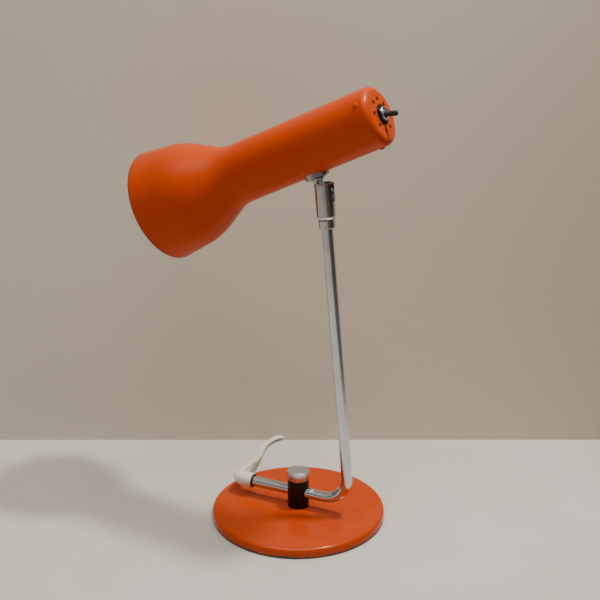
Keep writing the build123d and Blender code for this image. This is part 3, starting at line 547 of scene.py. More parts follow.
def lacquer_finish(name):
    """Satin black lacquer, slightly greyed."""
    finish = Finish(name, Specular_IOR_Level=0.3)
    tree = finish.tree
    dust = effect(tree, GROUPS["dust"], Amount=0.08)["Mask"]
    haze = ramp(tree, noise(tree, finish.place, 160.0, 4.0, 0.6), 0.4, 0.75)
    black = mix_colour(tree, haze, (0.004, 0.0035, 0.003, 1), (0.009, 0.008, 0.007, 1))
    finish.set("Base Color", mix_colour(tree, dust, black, (0.20, 0.18, 0.16, 1.0)))
    smudges = effect(tree, GROUPS["smudges"], Roughness=0.26, Spread=0.18, Scale=70.0)
    finish.set("Roughness", smudges["Roughness"])
    finish.bump(noise(tree, finish.place, 1300.0, 3.0), 0.00003, 0.5)
    return finish.material


def moulded_finish(name, colour, roughness, translucent=0.0, grain=900.0):
    """Moulded plastic with a faint grain, yellowed in patches."""
    finish = Finish(name, Specular_IOR_Level=0.45, Subsurface_Weight=translucent)
    if translucent:
        finish.shader.inputs["Subsurface Radius"].default_value = (1.0, 0.75, 0.45)
        finish.shader.inputs["Subsurface Scale"].default_value = 0.003
    tree = finish.tree
    aged_and_painted_shade = tuple(channel * share for channel, share in zip(colour, (0.93, 0.86, 0.72)))
    patch = ramp(tree, noise(tree, finish.place, 55.0, 4.0, 0.6), 0.4, 0.75)
    body = mix_colour(tree, patch, rgba(colour), rgba(aged_and_painted_shade))
    grime = ramp(tree, noise(tree, finish.place, 240.0, 5.0, 0.7), 0.66, 0.80, 0.0, 0.35)
    dirt = tuple(channel * 0.45 for channel in colour)
    finish.set("Base Color", mix_colour(tree, grime, body, rgba(dirt)))
    smudges = effect(tree, GROUPS["smudges"], Roughness=roughness, Spread=0.14, Scale=60.0)
    finish.set("Roughness", smudges["Roughness"])
    finish.bump(noise(tree, finish.place, grain, 3.0), 0.00004, 0.5)
    return finish.material


def felt_finish(name):
    """Dark pressed felt with its fibres standing a little."""
    finish = Finish(name, Roughness=0.95, Sheen_Weight=0.4, Sheen_Roughness=0.5)
    tree = finish.tree
    fibre = noise(tree, finish.place, 1800.0, 6.0, 0.75)
    tone = mix_colour(tree, ramp(tree, fibre, 0.3, 0.7), (0.022, 0.030, 0.022, 1), (0.07, 0.085, 0.065, 1))
    finish.set("Base Color", tone)
    finish.bump(fibre, 0.0004, 0.8)
    return finish.material


def cast_finish(name):
    """Rough painted iron."""
    finish = Finish(name, Metallic=0.6)
    tree = finish.tree
    skin = noise(tree, finish.place, 700.0, 6.0, 0.7)
    share = ramp(tree, skin, 0.3, 0.7)
    finish.set("Base Color", mix_colour(tree, share, (0.03, 0.03, 0.032, 1), (0.09, 0.08, 0.07, 1)))
    finish.set("Roughness", ramp(tree, skin, 0.3, 0.7, 0.55, 0.85))
    finish.bump(skin, 0.0005, 0.7)
    return finish.material


def opal_finish(name):
    """Opal glass: white, glossy and a little translucent."""
    finish = Finish(name, Specular_IOR_Level=0.5, Subsurface_Weight=0.3, Coat_Weight=0.5, Coat_Roughness=0.03)
    finish.shader.inputs["Subsurface Scale"].default_value = 0.004
    tree = finish.tree
    milk = noise(tree, finish.place, 40.0, 3.0)
    finish.set("Base Color", mix_colour(tree, milk, (0.86, 0.85, 0.81, 1), (0.92, 0.91, 0.88, 1)))
    smudges = effect(tree, GROUPS["smudges"], Roughness=0.10, Spread=0.12, Scale=40.0)
    finish.set("Roughness", smudges["Roughness"])
    return finish.material


FINISHES = {}


def build_finishes(finishes):
    """Build every material of the lamp, by the record's slot names."""
    build_groups()
    enamel = tuple(finishes.enamel)
    inside = tuple(finishes.shade_inside)
    chrome = tuple(finishes.chrome)
    ivory = tuple(finishes.ivory)
    rough = finishes.enamel_roughness
    FINISHES["orange_enamel"] = enamel_finish(
        "Orange enamel", enamel, None, rough + 0.12, finishes.wear, edged=False
    )
    FINISHES["foot_enamel"] = enamel_finish(
        "Foot enamel", enamel, None, rough, finishes.wear, gloss_level=0.22
    )
    FINISHES["shade_enamel"] = enamel_finish("Shade enamel", enamel, inside, rough + 0.17, finishes.wear)
    FINISHES["chrome"] = chrome_finish("Chrome", chrome)
    knob_axis = (Vector((0, 0, KNOB_TOP)), Vector((0, 0, 1)))
    FINISHES["knob_chrome"] = chrome_finish("Knob chrome", chrome, 0.10, 0.12, turned=knob_axis)
    FINISHES["thread_chrome"] = chrome_finish("Threaded chrome", chrome, 0.16, 0.1, threads=(REAR, TO_MOUTH))
    FINISHES["zinc_steel"] = steel_finish("Plated steel")
    FINISHES["spring_steel"] = steel_finish("Spring steel", (0.30, 0.30, 0.31), 0.3)
    FINISHES["dark_steel"] = steel_finish("Darkened steel", (0.045, 0.042, 0.040), 0.35)
    FINISHES["brass"] = steel_finish("Brass", (0.62, 0.42, 0.16), 0.25)
    FINISHES["brass_nickel"] = steel_finish("Nickelled brass", (0.58, 0.54, 0.46), 0.18)
    FINISHES["solder"] = steel_finish("Solder", (0.45, 0.45, 0.44), 0.35)
    FINISHES["black_lacquer"] = lacquer_finish("Black lacquer")
    FINISHES["black_plastic"] = moulded_finish("Black plastic", (0.012, 0.012, 0.012), 0.30)
    FINISHES["bakelite"] = moulded_finish("Bakelite", (0.035, 0.020, 0.014), 0.22)
    FINISHES["nylon"] = moulded_finish("Nylon", (0.75, 0.73, 0.66), 0.4, 0.2)
    FINISHES["inner_flex"] = moulded_finish("Inner flex", (0.76, 0.73, 0.66), 0.4)
    FINISHES["ivory_plastic"] = moulded_finish("Ivory plastic", ivory, 0.30, 0.55)
    FINISHES["ivory_flex"] = moulded_finish("Ivory flex", ivory, 0.36, 0.35, 700.0)
    FINISHES["cord_tie"] = moulded_finish("Cord tie", (0.62, 0.61, 0.58), 0.5)
    FINISHES["felt"] = felt_finish("Felt")
    FINISHES["cast_iron"] = cast_finish("Cast iron")
    FINISHES["opal_glass"] = opal_finish("Opal glass")


# ================================================================ shapes
class Wall:
    """An outline drawn as tangent straights and arcs, as (along, radius) points."""

    def __init__(self, along, radius, heading):
        self.here = Vector((along, radius))
        self.heading = radians(heading)
        self.points = [self.here.copy()]

    def straight(self, length, steps=1):
        """Go on in a straight line."""
        way = Vector((cos(self.heading), sin(self.heading)))
        start = self.here.copy()
        for step in range(1, steps + 1):
            self.here = start + way * (length * step / steps)
            self.points.append(self.here.copy())
        return self

    def arc(self, radius, turn, steps):
        """Turn through an angle in degrees, to the left if it is positive."""
        side = 1 if turn > 0 else -1
        centre = self.here + side * radius * Vector((-sin(self.heading), cos(self.heading)))
        start = self.heading
        for step in range(1, steps + 1):
            self.heading = start + radians(turn) * step / steps
            self.here = centre + side * radius * Vector((sin(self.heading), -cos(self.heading)))
            self.points.append(self.here.copy())
        return self


def rounded(corners, steps=5):
    """A closed outline of (along, radius, rounding) corners with small arcs on them."""
    outline = []
    for index, (along, radius, rounding) in enumerate(corners):
        here = Vector((along, radius))
        if not rounding:
            outline.append(here)
            continue
        back = (Vector(corners[index - 1][:2]) - here).normalized()
        on = (Vector(corners[(index + 1) % len(corners)][:2]) - here).normalized()
        half = back.angle(on) / 2
        centre = here + (back + on).normalized() * rounding / sin(half)
        first = here + back * rounding / tan(half) - centre
        last = here + on * rounding / tan(half) - centre
        for step in range(steps + 1):
            way = first.lerp(last, step / steps).normalized()
            outline.append(centre + way * rounding)
    return outline


def ring_quads(base, following, count):
    """The faces between two rings of count points, which start at these indices."""
    faces = []
    for step in range(count):
        after = (step + 1) % count
        faces.append((base + step, base + after, following + after, following + step))
    return faces


def new_mesh(name, points, faces, sharp=40.0):
    """A closed mesh with outward faces, smooth but for its sharp edges."""
    mesh = bpy.data.meshes.new(name)
    mesh.from_pydata([tuple(point) for point in points], [], faces)
    work = bmesh.new()
    work.from_mesh(mesh)
    bmesh.ops.recalc_face_normals(work, faces=work.faces)
    work.to_mesh(mesh)
    work.free()
    mesh.shade_smooth()
    mesh.set_sharp_from_angle(angle=radians(sharp))
    return mesh


def new_object(name, mesh, material):
    """Put a mesh in the scene with one material."""
    mesh.materials.clear()
    mesh.materials.append(material)
    piece = bpy.data.objects.new(name, mesh)
    bpy.context.scene.collection.objects.link(piece)
    return piece


def turned_mesh(name, outline, place, around=128, sharp=40.0):
    """A mesh turned about a placement's Z from a closed outline of (along, radius) points."""
    points = []
    rings = []
    for along, radius in outline:
        if radius < 1e-7:
            rings.append([len(points)])
            points.append(place @ Vector((0, 0, along)))
            continue
        rings.append(list(range(len(points), len(points) + around)))
        for step in range(around):
            angle = 2 * pi * step / around
            points.append(place @ Vector((radius * cos(angle), radius * sin(angle), along)))
    faces = []
    for ring, following in zip(rings, rings[1:] + rings[:1]):
        if len(ring) == 1 and len(following) == 1:
            continue
        for step in range(around):
            after = (step + 1) % around
            if len(ring) == 1:
                faces.append((ring[0], following[step], following[after]))
            elif len(following) == 1:
                faces.append((ring[after], ring[step], following[0]))
            else:
                faces.append((ring[after], ring[step], following[step], following[after]))
    return new_mesh(name, points, faces, sharp)


def swept_mesh(name, path, section, up=None, sharp=40.0):
    """A mesh swept along a path. section(index) gives the ring's (across, up) points."""
    points = []
    side = None
    for index, here in enumerate(path):
        before = path[max(index - 1, 0)]
        after = path[min(index + 1, len(path) - 1)]
        way = (after - before).normalized()
        if up is not None:
            side = way.cross(up).normalized()
        elif side is None:
            guide = Vector((0, 1, 0)) if abs(way.y) < 0.9 else Vector((1, 0, 0))
            side = way.cross(guide).normalized()
        else:
            side = (side - way * side.dot(way)).normalized()
        top = side.cross(way)
        ring = section(index)
        points += [here + side * across + top * rise for across, rise in ring]
    count = len(ring)
    faces = []
    for index in range(len(path) - 1):
        faces += ring_quads(index * count, (index + 1) * count, count)
    faces.append(tuple(range(count)))
    last = (len(path) - 1) * count
    faces.append(tuple(range(last, last + count)))
    return new_mesh(name, points, faces, sharp)


def circle(radius, count):
    """Points of a circle, as (across, up) pairs."""
    angles = (2 * pi * step / count for step in range(count))
    return [(radius * cos(angle), radius * sin(angle)) for angle in angles]


def paint(mesh, name, value_at):
    """Give each vertex a value, such as how near it is to an edge."""
    attribute = mesh.attributes.new(name, "FLOAT", "POINT")
    attribute.data.foreach_set("value", [value_at(vertex.co) for vertex in mesh.vertices])


def settle(piece, body, slot, *nodes):
    """Let a new piece ride on its body, and stand for the CAD nodes it replaces."""
    if nodes:
        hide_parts(*nodes)
    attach(piece, body)
    return piece


def dress(*names, finish=None):
    """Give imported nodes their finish: the one of their slot, or another."""
    slots = {part["node"]: part["material_slot"] for part in frame["record"]["subparts"]}
    for name in names:
        mesh = frame["nodes"][name].data
        mesh.materials.clear()
        mesh.materials.append(FINISHES[finish or slots[name]])


# ================================================================ Geometry Nodes
def shape_tree(name, inputs):
    """A new Geometry Nodes tree with one geometry in and out, and inputs {name: (type, value)}."""
    tree = bpy.data.node_groups.new(name, "GeometryNodeTree")
    tree.interface.new_socket("Geometry", in_out="INPUT", socket_type="NodeSocketGeometry")
    for label, (kind, value) in inputs.items():
        socket = tree.interface.new_socket(label, in_out="INPUT", socket_type="NodeSocket" + kind)
        if value is not None:
            socket.default_value = value
    tree.interface.new_socket("Geometry", in_out="OUTPUT", socket_type="NodeSocketGeometry")
    return tree, tree.nodes.new("NodeGroupInput").outputs, tree.nodes.new("NodeGroupOutput").inputs[0]


def run_tree(source, tree, name, **values):
    """The plain mesh that a tree makes from a source object, which is then removed."""
    modifier = source.modifiers.new("Shape", "NODES")
    modifier.node_group = tree
    for item in tree.interface.items_tree:
        key = item.name.replace(" ", "_")
        if item.in_out == "INPUT" and key in values:
            modifier[item.identifier] = values[key]
    bpy.context.view_layer.update()
    depsgraph = bpy.context.evaluated_depsgraph_get()
    mesh = bpy.data.meshes.new_from_object(source.evaluated_get(depsgraph), depsgraph=depsgraph)
    mesh.name = name
    bpy.data.objects.remove(source)
    return mesh


def build_flex_tree():
    """A flat twin flex along a curve: two round cores with a groove between them."""
    tree, given, out = shape_tree(
        "Lamp flex",
        {
            "Width": ("Float", 0.0058),
            "Thickness": ("Float", 0.003),
            "Groove": ("Float", 0.6),
            "Sides": ("Int", 28),
            "Finish": ("Material", None),
        },
    )
    level = add(tree, "GeometryNodeSetCurveNormal", given["Geometry"])
    level.mode = "Z_UP"
    ring = add(tree, "GeometryNodeCurvePrimitiveCircle", Resolution=given["Sides"], Radius=1.0)
    factor = add(tree, "GeometryNodeSplineParameter").outputs["Factor"]
    angle = maths(tree, "MULTIPLY", factor, 2 * pi)
    run, rise = maths(tree, "COSINE", angle), maths(tree, "SINE", angle)
    core = maths(tree, "MULTIPLY", given["Thickness"], 0.5)
    apart = maths(tree, "SUBTRACT", maths(tree, "MULTIPLY", given["Width"], 0.5), core)
    spread = maths(tree, "MULTIPLY", apart, maths(tree, "ABSOLUTE", run))
    drop = maths(tree, "POWER", maths(tree, "MULTIPLY", apart, rise), 2.0)
    inner = maths(tree, "MAXIMUM", maths(tree, "SUBTRACT", maths(tree, "POWER", core, 2.0), drop), 0.0)
    reach = maths(tree, "ADD", spread, maths(tree, "SQRT", inner))
    reach = maths(tree, "MAXIMUM", reach, maths(tree, "MULTIPLY", core, given["Groove"]))
    place = add(
        tree,
        "ShaderNodeCombineXYZ",
        maths(tree, "MULTIPLY", reach, run),
        maths(tree, "MULTIPLY", reach, rise),
    )
    profile = add(tree, "GeometryNodeSetPosition", ring.outputs["Curve"], Position=place.outputs[0])
    sweep = add(tree, "GeometryNodeCurveToMesh", level.outputs[0], profile.outputs[0], Fill_Caps=True)
    smooth = add(tree, "GeometryNodeSetShadeSmooth", sweep.outputs[0])
    whole = add(tree, "GeometryNodeRealizeInstances", smooth.outputs[0])
    named = add(tree, "GeometryNodeSetMaterial", whole.outputs[0], Material=given["Finish"])
    feed(tree, out, named.outputs[0])
    return tree


def build_vent_tree():
    """A cap with round vents cut through it in a ring, about the Z of its own placement."""
    tree, given, out = shape_tree(
        "Lamp vents",
        {
            "Count": ("Int", 8),
            "Ring radius": ("Float", 0.0135),
            "Vent radius": ("Float", 0.0019),
            "Depth": ("Float", 0.006),
            "First": ("Float", 0.2),
            "Finish": ("Material", None),
        },
    )
    ring = add(
        tree, "GeometryNodeCurvePrimitiveCircle", Resolution=given["Count"], Radius=given["Ring radius"]
    )
    spots = add(tree, "GeometryNodeCurveToPoints", ring.outputs["Curve"], Count=given["Count"])
    spots.mode = "EVALUATED"
    drill = add(
        tree, "GeometryNodeMeshCylinder", Vertices=40, Radius=given["Vent radius"], Depth=given["Depth"]
    )
    drills = add(
        tree, "GeometryNodeInstanceOnPoints", spots.outputs["Points"], Instance=drill.outputs["Mesh"]
    )
    turn = add(tree, "ShaderNodeCombineXYZ", None, None, given["First"])
    placed = add(tree, "GeometryNodeTransform", drills.outputs[0], Rotation=turn.outputs[0])
    whole = add(tree, "GeometryNodeRealizeInstances", placed.outputs[0])
    cut = add(tree, "GeometryNodeMeshBoolean", settings={"operation": "DIFFERENCE"})
    feed(tree, cut.inputs["Mesh 1"], given["Geometry"])
    feed(tree, cut.inputs["Mesh 2"], whole.outputs[0])
    named = add(tree, "GeometryNodeSetMaterial", cut.outputs[0], Material=given["Finish"])
    feed(tree, out, named.outputs[0])
    return tree


# ================================================================ the flex
def coil_points():
    """The turns of the put-away coil: one layer wound inwards, and one outwards on it."""
    points = []
    turns = COIL_TURNS_IN + COIL_TURNS_OUT
    count = round(turns * POINTS_A_TURN)
    for step in range(1, count + 1):
        turn = turns * step / count
        inwards = turn < COIL_TURNS_IN
        share = turn / COIL_TURNS_IN if inwards else (turn - COIL_TURNS_IN) / COIL_TURNS_OUT
        swing = COIL_OUTER_R - COIL_INNER_R
        radius = COIL_OUTER_R - swing * share if inwards else COIL_INNER_R + swing * share
        lift = min(max((turn - COIL_TURNS_IN) / 0.35 + 0.5, 0.0), 1.0)
        angle = radians(COIL_START) + 2 * pi * turn
        points.append(
            (
                COIL_CENTRE[0] + radius * cos(angle),
                COIL_CENTRE[1] + radius * sin(angle),
                COIL_LOW + (COIL_HIGH - COIL_LOW) * lift * lift * (3 - 2 * lift),
            )
        )
    return points


def flex_curve():
    """The flex's centreline: a smooth curve through the route, the coil and the tail."""
    data = bpy.data.curves.new("flex_line", "CURVE")
    data.dimensions = "3D"
    data.resolution_u = 6
    spline = data.splines.new("NURBS")
    points = [*ROUTE, *coil_points(), *TAIL]
    spline.points.add(len(points) - 1)
    for point, place in zip(spline.points, points):
        point.co = (*(MM * value for value in place), 1.0)
    spline.order_u = 3
    spline.use_endpoint_u = True
    curve = bpy.data.objects.new("flex_line", data)
    bpy.context.scene.collection.objects.link(curve)
    return curve


class LAMP_OT_flex(bpy.types.Operator):
    """Lay the flat twin flex from the grip to the coil and the plug, and tie the coil."""

    bl_idname = "desk_lamp.flex"
    bl_label = "Flex and coil"

    def execute(self, context):
        sizes = context.scene.lamp_flex
        curve = flex_curve()
        bpy.context.view_layer.update()
        line = bpy.data.meshes.new_from_object(curve)
        bpy.data.meshes.remove(line)
        mesh = run_tree(
            curve,
            build_flex_tree(),
            "flex",
            Width=sizes.width,
            Thickness=sizes.thickness,
            Groove=sizes.groove,
            Finish=FINISHES["ivory_flex"],
        )
        flex = new_object("flex", mesh, FINISHES["ivory_flex"])
        settle(flex, "cord_end", "ivory_flex", "mains_cord", "cord_coil", "cord_tail")
        tie = settle(self.tie(), "cord_end", "cord_tie", "cord_tie")
        return {"FINISHED"}

    def tie(self):
        """A flat paper-and-wire tie round the coil's turns, its ends twisted outside."""
        low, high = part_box("cord_tie")
        angle = radians(TIE_ANGLE)
        way = Vector((cos(angle), sin(angle), 0))
        middle_r = MM * (TIE_INNER_R + TIE_OUTER_R) / 2
        centre = Vector((MM * COIL_CENTRE[0], MM * COIL_CENTRE[1], 0)) + way * middle_r
        centre.z = (low.z + high.z) / 2
        half_long, half_high = TIE_HALF_LONG * MM, (high.z - low.z) / 2 - 0.4 * MM
        corner = TIE_CORNER_R * MM
        loop = rounded(
            [
                (half_long, half_high, corner),
                (half_long, -half_high, corner),
                (-half_long, -half_high, corner),
                (-half_long, half_high, corner),
            ],
            8,
        )
        across = Vector((-way.y, way.x, 0))
        points = []
        section = [(-2.0, -0.22), (-1.6, -0.35), (0, -0.2), (1.6, -0.35), (2.0, -0.22)]
        section += [(2.0, 0.22), (1.6, 0.35), (0, 0.2), (-1.6, 0.35), (-2.0, 0.22)]
        for index, here in enumerate(loop):
            before, after = loop[index - 1], loop[(index + 1) % len(loop)]
            run = (after - before).normalized()
            out = Vector((run.y, -run.x))
            for side, rise in section:
                spot = here + out * rise * MM
                points.append(centre + way * spot.x + Vector((0, 0, spot.y)) + across * side * MM)
        count = len(section)
        faces = []
        for index in range(len(loop)):
            faces += ring_quads(index * count, (index + 1) % len(loop) * count, count)
        work = bmesh.new()
        work.from_mesh(new_mesh("band", points, faces))
        for phase in (0, pi):
            start = centre + way * (half_long + 0.4 * MM)
            twist = []
            for step in range(TWIST_STEPS + 1):
                share = step / TWIST_STEPS
                spin = phase + share * 5 * pi
                wide = 0.75 * MM * (1 + 1.6 * max(share - 0.8, 0) * 5)
                offset = across * cos(spin) * wide + Vector((0, 0, 1)) * sin(spin) * wide
                sag = Vector((0, 0, -1.2 * MM * share))
                twist.append(start + way * (10 * MM * share) + offset + sag)
            strand = swept_mesh("strand", twist, lambda index: circle(0.55 * MM, 10))
            work.from_mesh(strand)
        mesh = bpy.data.meshes.new("coil_tie")
        work.to_mesh(mesh)
        work.free()
        mesh.shade_smooth()
        return new_object("coil_tie", mesh, FINISHES["cord_tie"])


class LAMP_OT_plug(bpy.types.Operator):
    """Mould the two-pin plug on the flex's end, and the ivory grip at the foot tube."""

    bl_idname = "desk_lamp.plug"
    bl_label = "Plug and cord grip"

    def execute(self, context):
        self.plug()
        self.grip()
        dress("plug_pins", "plug_sleeves")
        return {"FINISHED"}

    def plug(self):
        """A flat two-pin plug: ribbed sleeve, waisted finger grip and flat face."""
        angle = radians(PLUG_HEADING)
        way = Vector((cos(angle), sin(angle), 0))
        entry = MM * Vector(TAIL[-1])
        stations = [(-9.0, 3.2, 2.2, 2.2), (-8.6, 3.7, 2.6, 2.2)]
        for rib in range(PLUG_RIBS):
            at = -8.0 + rib * PLUG_RIB_PITCH
            grow = rib * PLUG_RIB_GROWTH
            for wide, high, ends in ((3.9, 2.9, (0.0, 1.1)), (3.2, 2.3, (1.3, 2.3))):
                stations += [(at + end, wide + grow, high + grow * 0.8, 2.3) for end in ends]
        stations += [
            (6.0, 5.6, 4.7, 2.6),
            (10.0, 7.6, 5.3, 3.0),
            (14.0, 10.2, 5.7, 3.4),
            (18.0, 13.0, 5.9, 3.8),
            (22.0, 15.2, 6.1, 4.2),
            (26.0, 16.4, 6.3, 4.6),
            (29.6, 16.8, 6.45, 4.8),
            (29.9, 17.3, 6.75, 4.8),
            (33.4, 17.35, 6.75, 4.8),
            (33.9, 17.1, 6.5, 4.8),
            (34.0, 16.6, 6.1, 4.8),
        ]
        path = [entry + way * (MM * station[0]) for station in stations]

        def section(index):
            _, wide, high, square = stations[index]
            ring = []
            for step in range(PLUG_SIDES):
                turn = 2 * pi * step / PLUG_SIDES
                run, rise = cos(turn), sin(turn)
                across = wide * abs(run) ** (2 / square) * (1 if run > 0 else -1)
                up = high * abs(rise) ** (2 / square) * (1 if rise > 0 else -1)
                ring.append((MM * across, MM * up))
            return ring

        mesh = swept_mesh("plug", path, section, up=Vector((0, 0, 1)), sharp=50)
        piece = new_object("plug", mesh, FINISHES["ivory_plastic"])
        settle(piece, "cord_end", "ivory_plastic", "plug_body")

    def grip(self):
        """A moulded elbow that holds the flex, with a lip where the flex leaves it."""
        start = Vector((TUBE_END_X - 0.3 * MM, 0, TUBE_AXIS_Z))
        corner = Vector((GRIP_CORNER_X * MM, 0, TUBE_AXIS_Z))
        end = MM * Vector(ROUTE[0])
        round_off = GRIP_ROUND_OFF * MM
        turn_in = corner + (start - corner).normalized() * round_off
        turn_out = corner + (end - corner).normalized() * round_off
        path = [start.lerp(turn_in, step / 10) for step in range(10)]
        for step in range(15):
            share = step / 14
            first, second = turn_in.lerp(corner, share), corner.lerp(turn_out, share)
            path.append(first.lerp(second, share))
        path += [turn_out.lerp(end, step / 12) for step in range(1, 13)]
        lengths = [0.0]
        for before, after in zip(path, path[1:]):
            lengths.append(lengths[-1] + (after - before).length)
        whole = lengths[-1]

        def radius_at(index):
            left = whole - lengths[index]
            if index == 0:
                return 6.5 * MM
            if left < 1.2 * MM:
                return (3.5 if left < 0.1 * MM else 4.0) * MM
            taper = min(max((left - 1.2 * MM) / (15 * MM), 0.0), 1.0)
            return (3.6 + 3.4 * taper * taper * (3 - 2 * taper)) * MM

        mesh = swept_mesh("cord_grip_moulding", path, lambda index: circle(radius_at(index), 64))
        piece = new_object("cord_grip_moulding", mesh, FINISHES["ivory_plastic"])
        settle(piece, "cord_end", "ivory_plastic", "cord_grip")


# ================================================================ the foot
class LAMP_OT_foot(bpy.types.Operator):
    """Turn the enamelled foot and dress what is under it."""

    bl_idname = "desk_lamp.foot"
    bl_label = "Foot"

    def execute(self, context):
        outline = rounded(
            [
                (FOOT_TOP, POST_HOLE_R, 0.2 * MM),
                (FOOT_TOP, FOOT_R * 0.5, 0),
                (FOOT_TOP, FOOT_R, FOOT_EDGE_R),
                (RIM_LIFT, FOOT_R, 0.35 * MM),
                (RIM_LIFT, FOOT_R - SHEET, 0.35 * MM),
                (FOOT_TOP - SHEET, FOOT_R - SHEET, FOOT_EDGE_R - SHEET),
                (FOOT_TOP - SHEET, POST_HOLE_R, 0.2 * MM),
            ],
            10,
        )
        mesh = turned_mesh("foot", outline, UPRIGHT, 256)
        paint(mesh, "edge", self.edge_at)
        piece = new_object("foot", mesh, FINISHES["foot_enamel"])
        settle(piece, "base", "orange_enamel", "base_plate")
        dress("ballast_disc", "felt_pad", "post_bolt", "post_washer")
        return {"FINISHED"}

    def edge_at(self, place):
        """How open to knocks a point of the foot is: the lower rim most, the top edge less."""
        radius = sqrt(place.x**2 + place.y**2)
        if radius < FOOT_R - 4 * MM:
            return 0.0
        if place.z < RIM_LIFT + 0.9 * MM:
            return 0.75
        shoulder = abs(place.z - (FOOT_TOP - FOOT_EDGE_R * 0.4)) / (1.6 * MM)
        return max(0.0, 0.28 * (1 - shoulder))


# ================================================================ the clamp
class LAMP_OT_clamp(bpy.types.Operator):
    """Dress the post, and turn its chrome knob."""

    bl_idname = "desk_lamp.clamp"
    bl_label = "Clamp post and knob"

    def execute(self, context):
        groove = 0.18 * MM
        outline = rounded(
            [
                (KNOB_TOP, 0, 0),
                (KNOB_TOP, KNOB_RING_R - groove, 0.03 * MM),
                (KNOB_TOP - groove, KNOB_RING_R, 0.03 * MM),
                (KNOB_TOP, KNOB_RING_R + groove, 0.03 * MM),
                (KNOB_TOP, KNOB_R, 0.7 * MM),
                (KNOB_FOOT, KNOB_R, 0.4 * MM),
                (KNOB_FOOT, KNOB_THREAD_R, 0.2 * MM),
                (KNOB_FOOT + KNOB_THREAD_H, KNOB_THREAD_R, 0),
                (KNOB_FOOT + KNOB_THREAD_H, 0, 0),
            ],
            8,
        )
        mesh = turned_mesh("knob", outline, UPRIGHT, 128, sharp=60)
        paint(mesh, "machined", lambda place: 1.0 if place.z > KNOB_TOP - 0.25 * MM else 0.0)
        piece = new_object("knob", mesh, FINISHES["knob_chrome"])
        settle(piece, "knob", "chrome", "clamp_knob")
        dress("clamp_post", "clamp_pad", "clamp_screw")
        return {"FINISHED"}


# ================================================================ the tube
class LAMP_OT_tube(bpy.types.Operator):
    """Bend the chrome tube, and dress its ferrule and collar."""

    bl_idname = "desk_lamp.tube"
    bl_label = "Bent tube"

    def execute(self, context):
        corner = Vector((BEND_CORNER_X, 0, TUBE_AXIS_Z))
        start = Vector((TUBE_END_X, 0, TUBE_AXIS_Z))
        lean = Vector((1, 0, 0)).angle(UP_ARM)
        trim = BEND_R * tan(lean / 2)
        turn_in = corner - Vector((trim, 0, 0))
        turn_out = corner + UP_ARM * trim
        centre = turn_in + Vector((0, 0, BEND_R))
        top = corner + UP_ARM * TUBE_TOP
        path = [start.lerp(turn_in, step / 24) for step in range(24)]
        for step in range(33):
            angle = lean * step / 32
            path.append(centre + BEND_R * Vector((sin(angle), 0, -cos(angle))))
        path += [turn_out.lerp(top, step / 48) for step in range(1, 49)]
        mesh = self.hollow(path)
        piece = new_object("tube", mesh, FINISHES["chrome"])
        settle(piece, "arm", "chrome", "arm_tube")
        dress("tube_ferrule", "joint_collar", "arm_flex")
        return {"FINISHED"}

    def hollow(self, path):
        """A tube with a bore, swept in the plane it is bent in."""
        count = 64
        points = []
        for index, here in enumerate(path):
            before = path[max(index - 1, 0)]
            after = path[min(index + 1, len(path) - 1)]
            way = (after - before).normalized()
            across = Vector((0, 1, 0))
            rise = way.cross(across)
            for radius in (TUBE_R, TUBE_BORE_R):
                points += [here + across * run + rise * up for run, up in circle(radius, count)]
        faces = []
        for index in range(len(path) - 1):
            for skin in (0, count):
                base = index * 2 * count + skin
                faces += ring_quads(base, base + 2 * count, count)
        for end in (0, (len(path) - 1) * 2 * count):
            faces += ring_quads(end, end + count, count)
        return new_mesh("tube", points, faces)


# ================================================================ the ball joint
class LAMP_OT_joint(bpy.types.Operator):
    """Dress the slotted housing, the ball stud and what presses on the ball."""

    bl_idname = "desk_lamp.joint"
    bl_label = "Ball joint"

    def execute(self, context):
        dress("joint_housing", "ball_seat", "seat_spring", "ball_stud", "flange_washer", "stud_nut")
        return {"FINISHED"}


# ================================================================ the shade
def shade_wall(inset):
    """The shade's wall from its rear edge to the mouth, set in from the outside."""
    wall = Wall(SHADE_START, SHADE_REAR_R - inset, NECK_TAPER)
    wall.straight((FLARE_START - SHADE_START) / cos(radians(NECK_TAPER)), 40)
    wall.arc(FLARE_R + inset, FLARE_ANGLE - NECK_TAPER, 18)
    wall.straight(FLARE_STRAIGHT, 6)
    wall.arc(BELL_R - inset, MOUTH_ANGLE - FLARE_ANGLE, 20)
    lip = SHADE_WALL / 2
    wall.straight((SHADE_LENGTH - lip - wall.here.x) / cos(wall.heading), 10)
    return wall.points


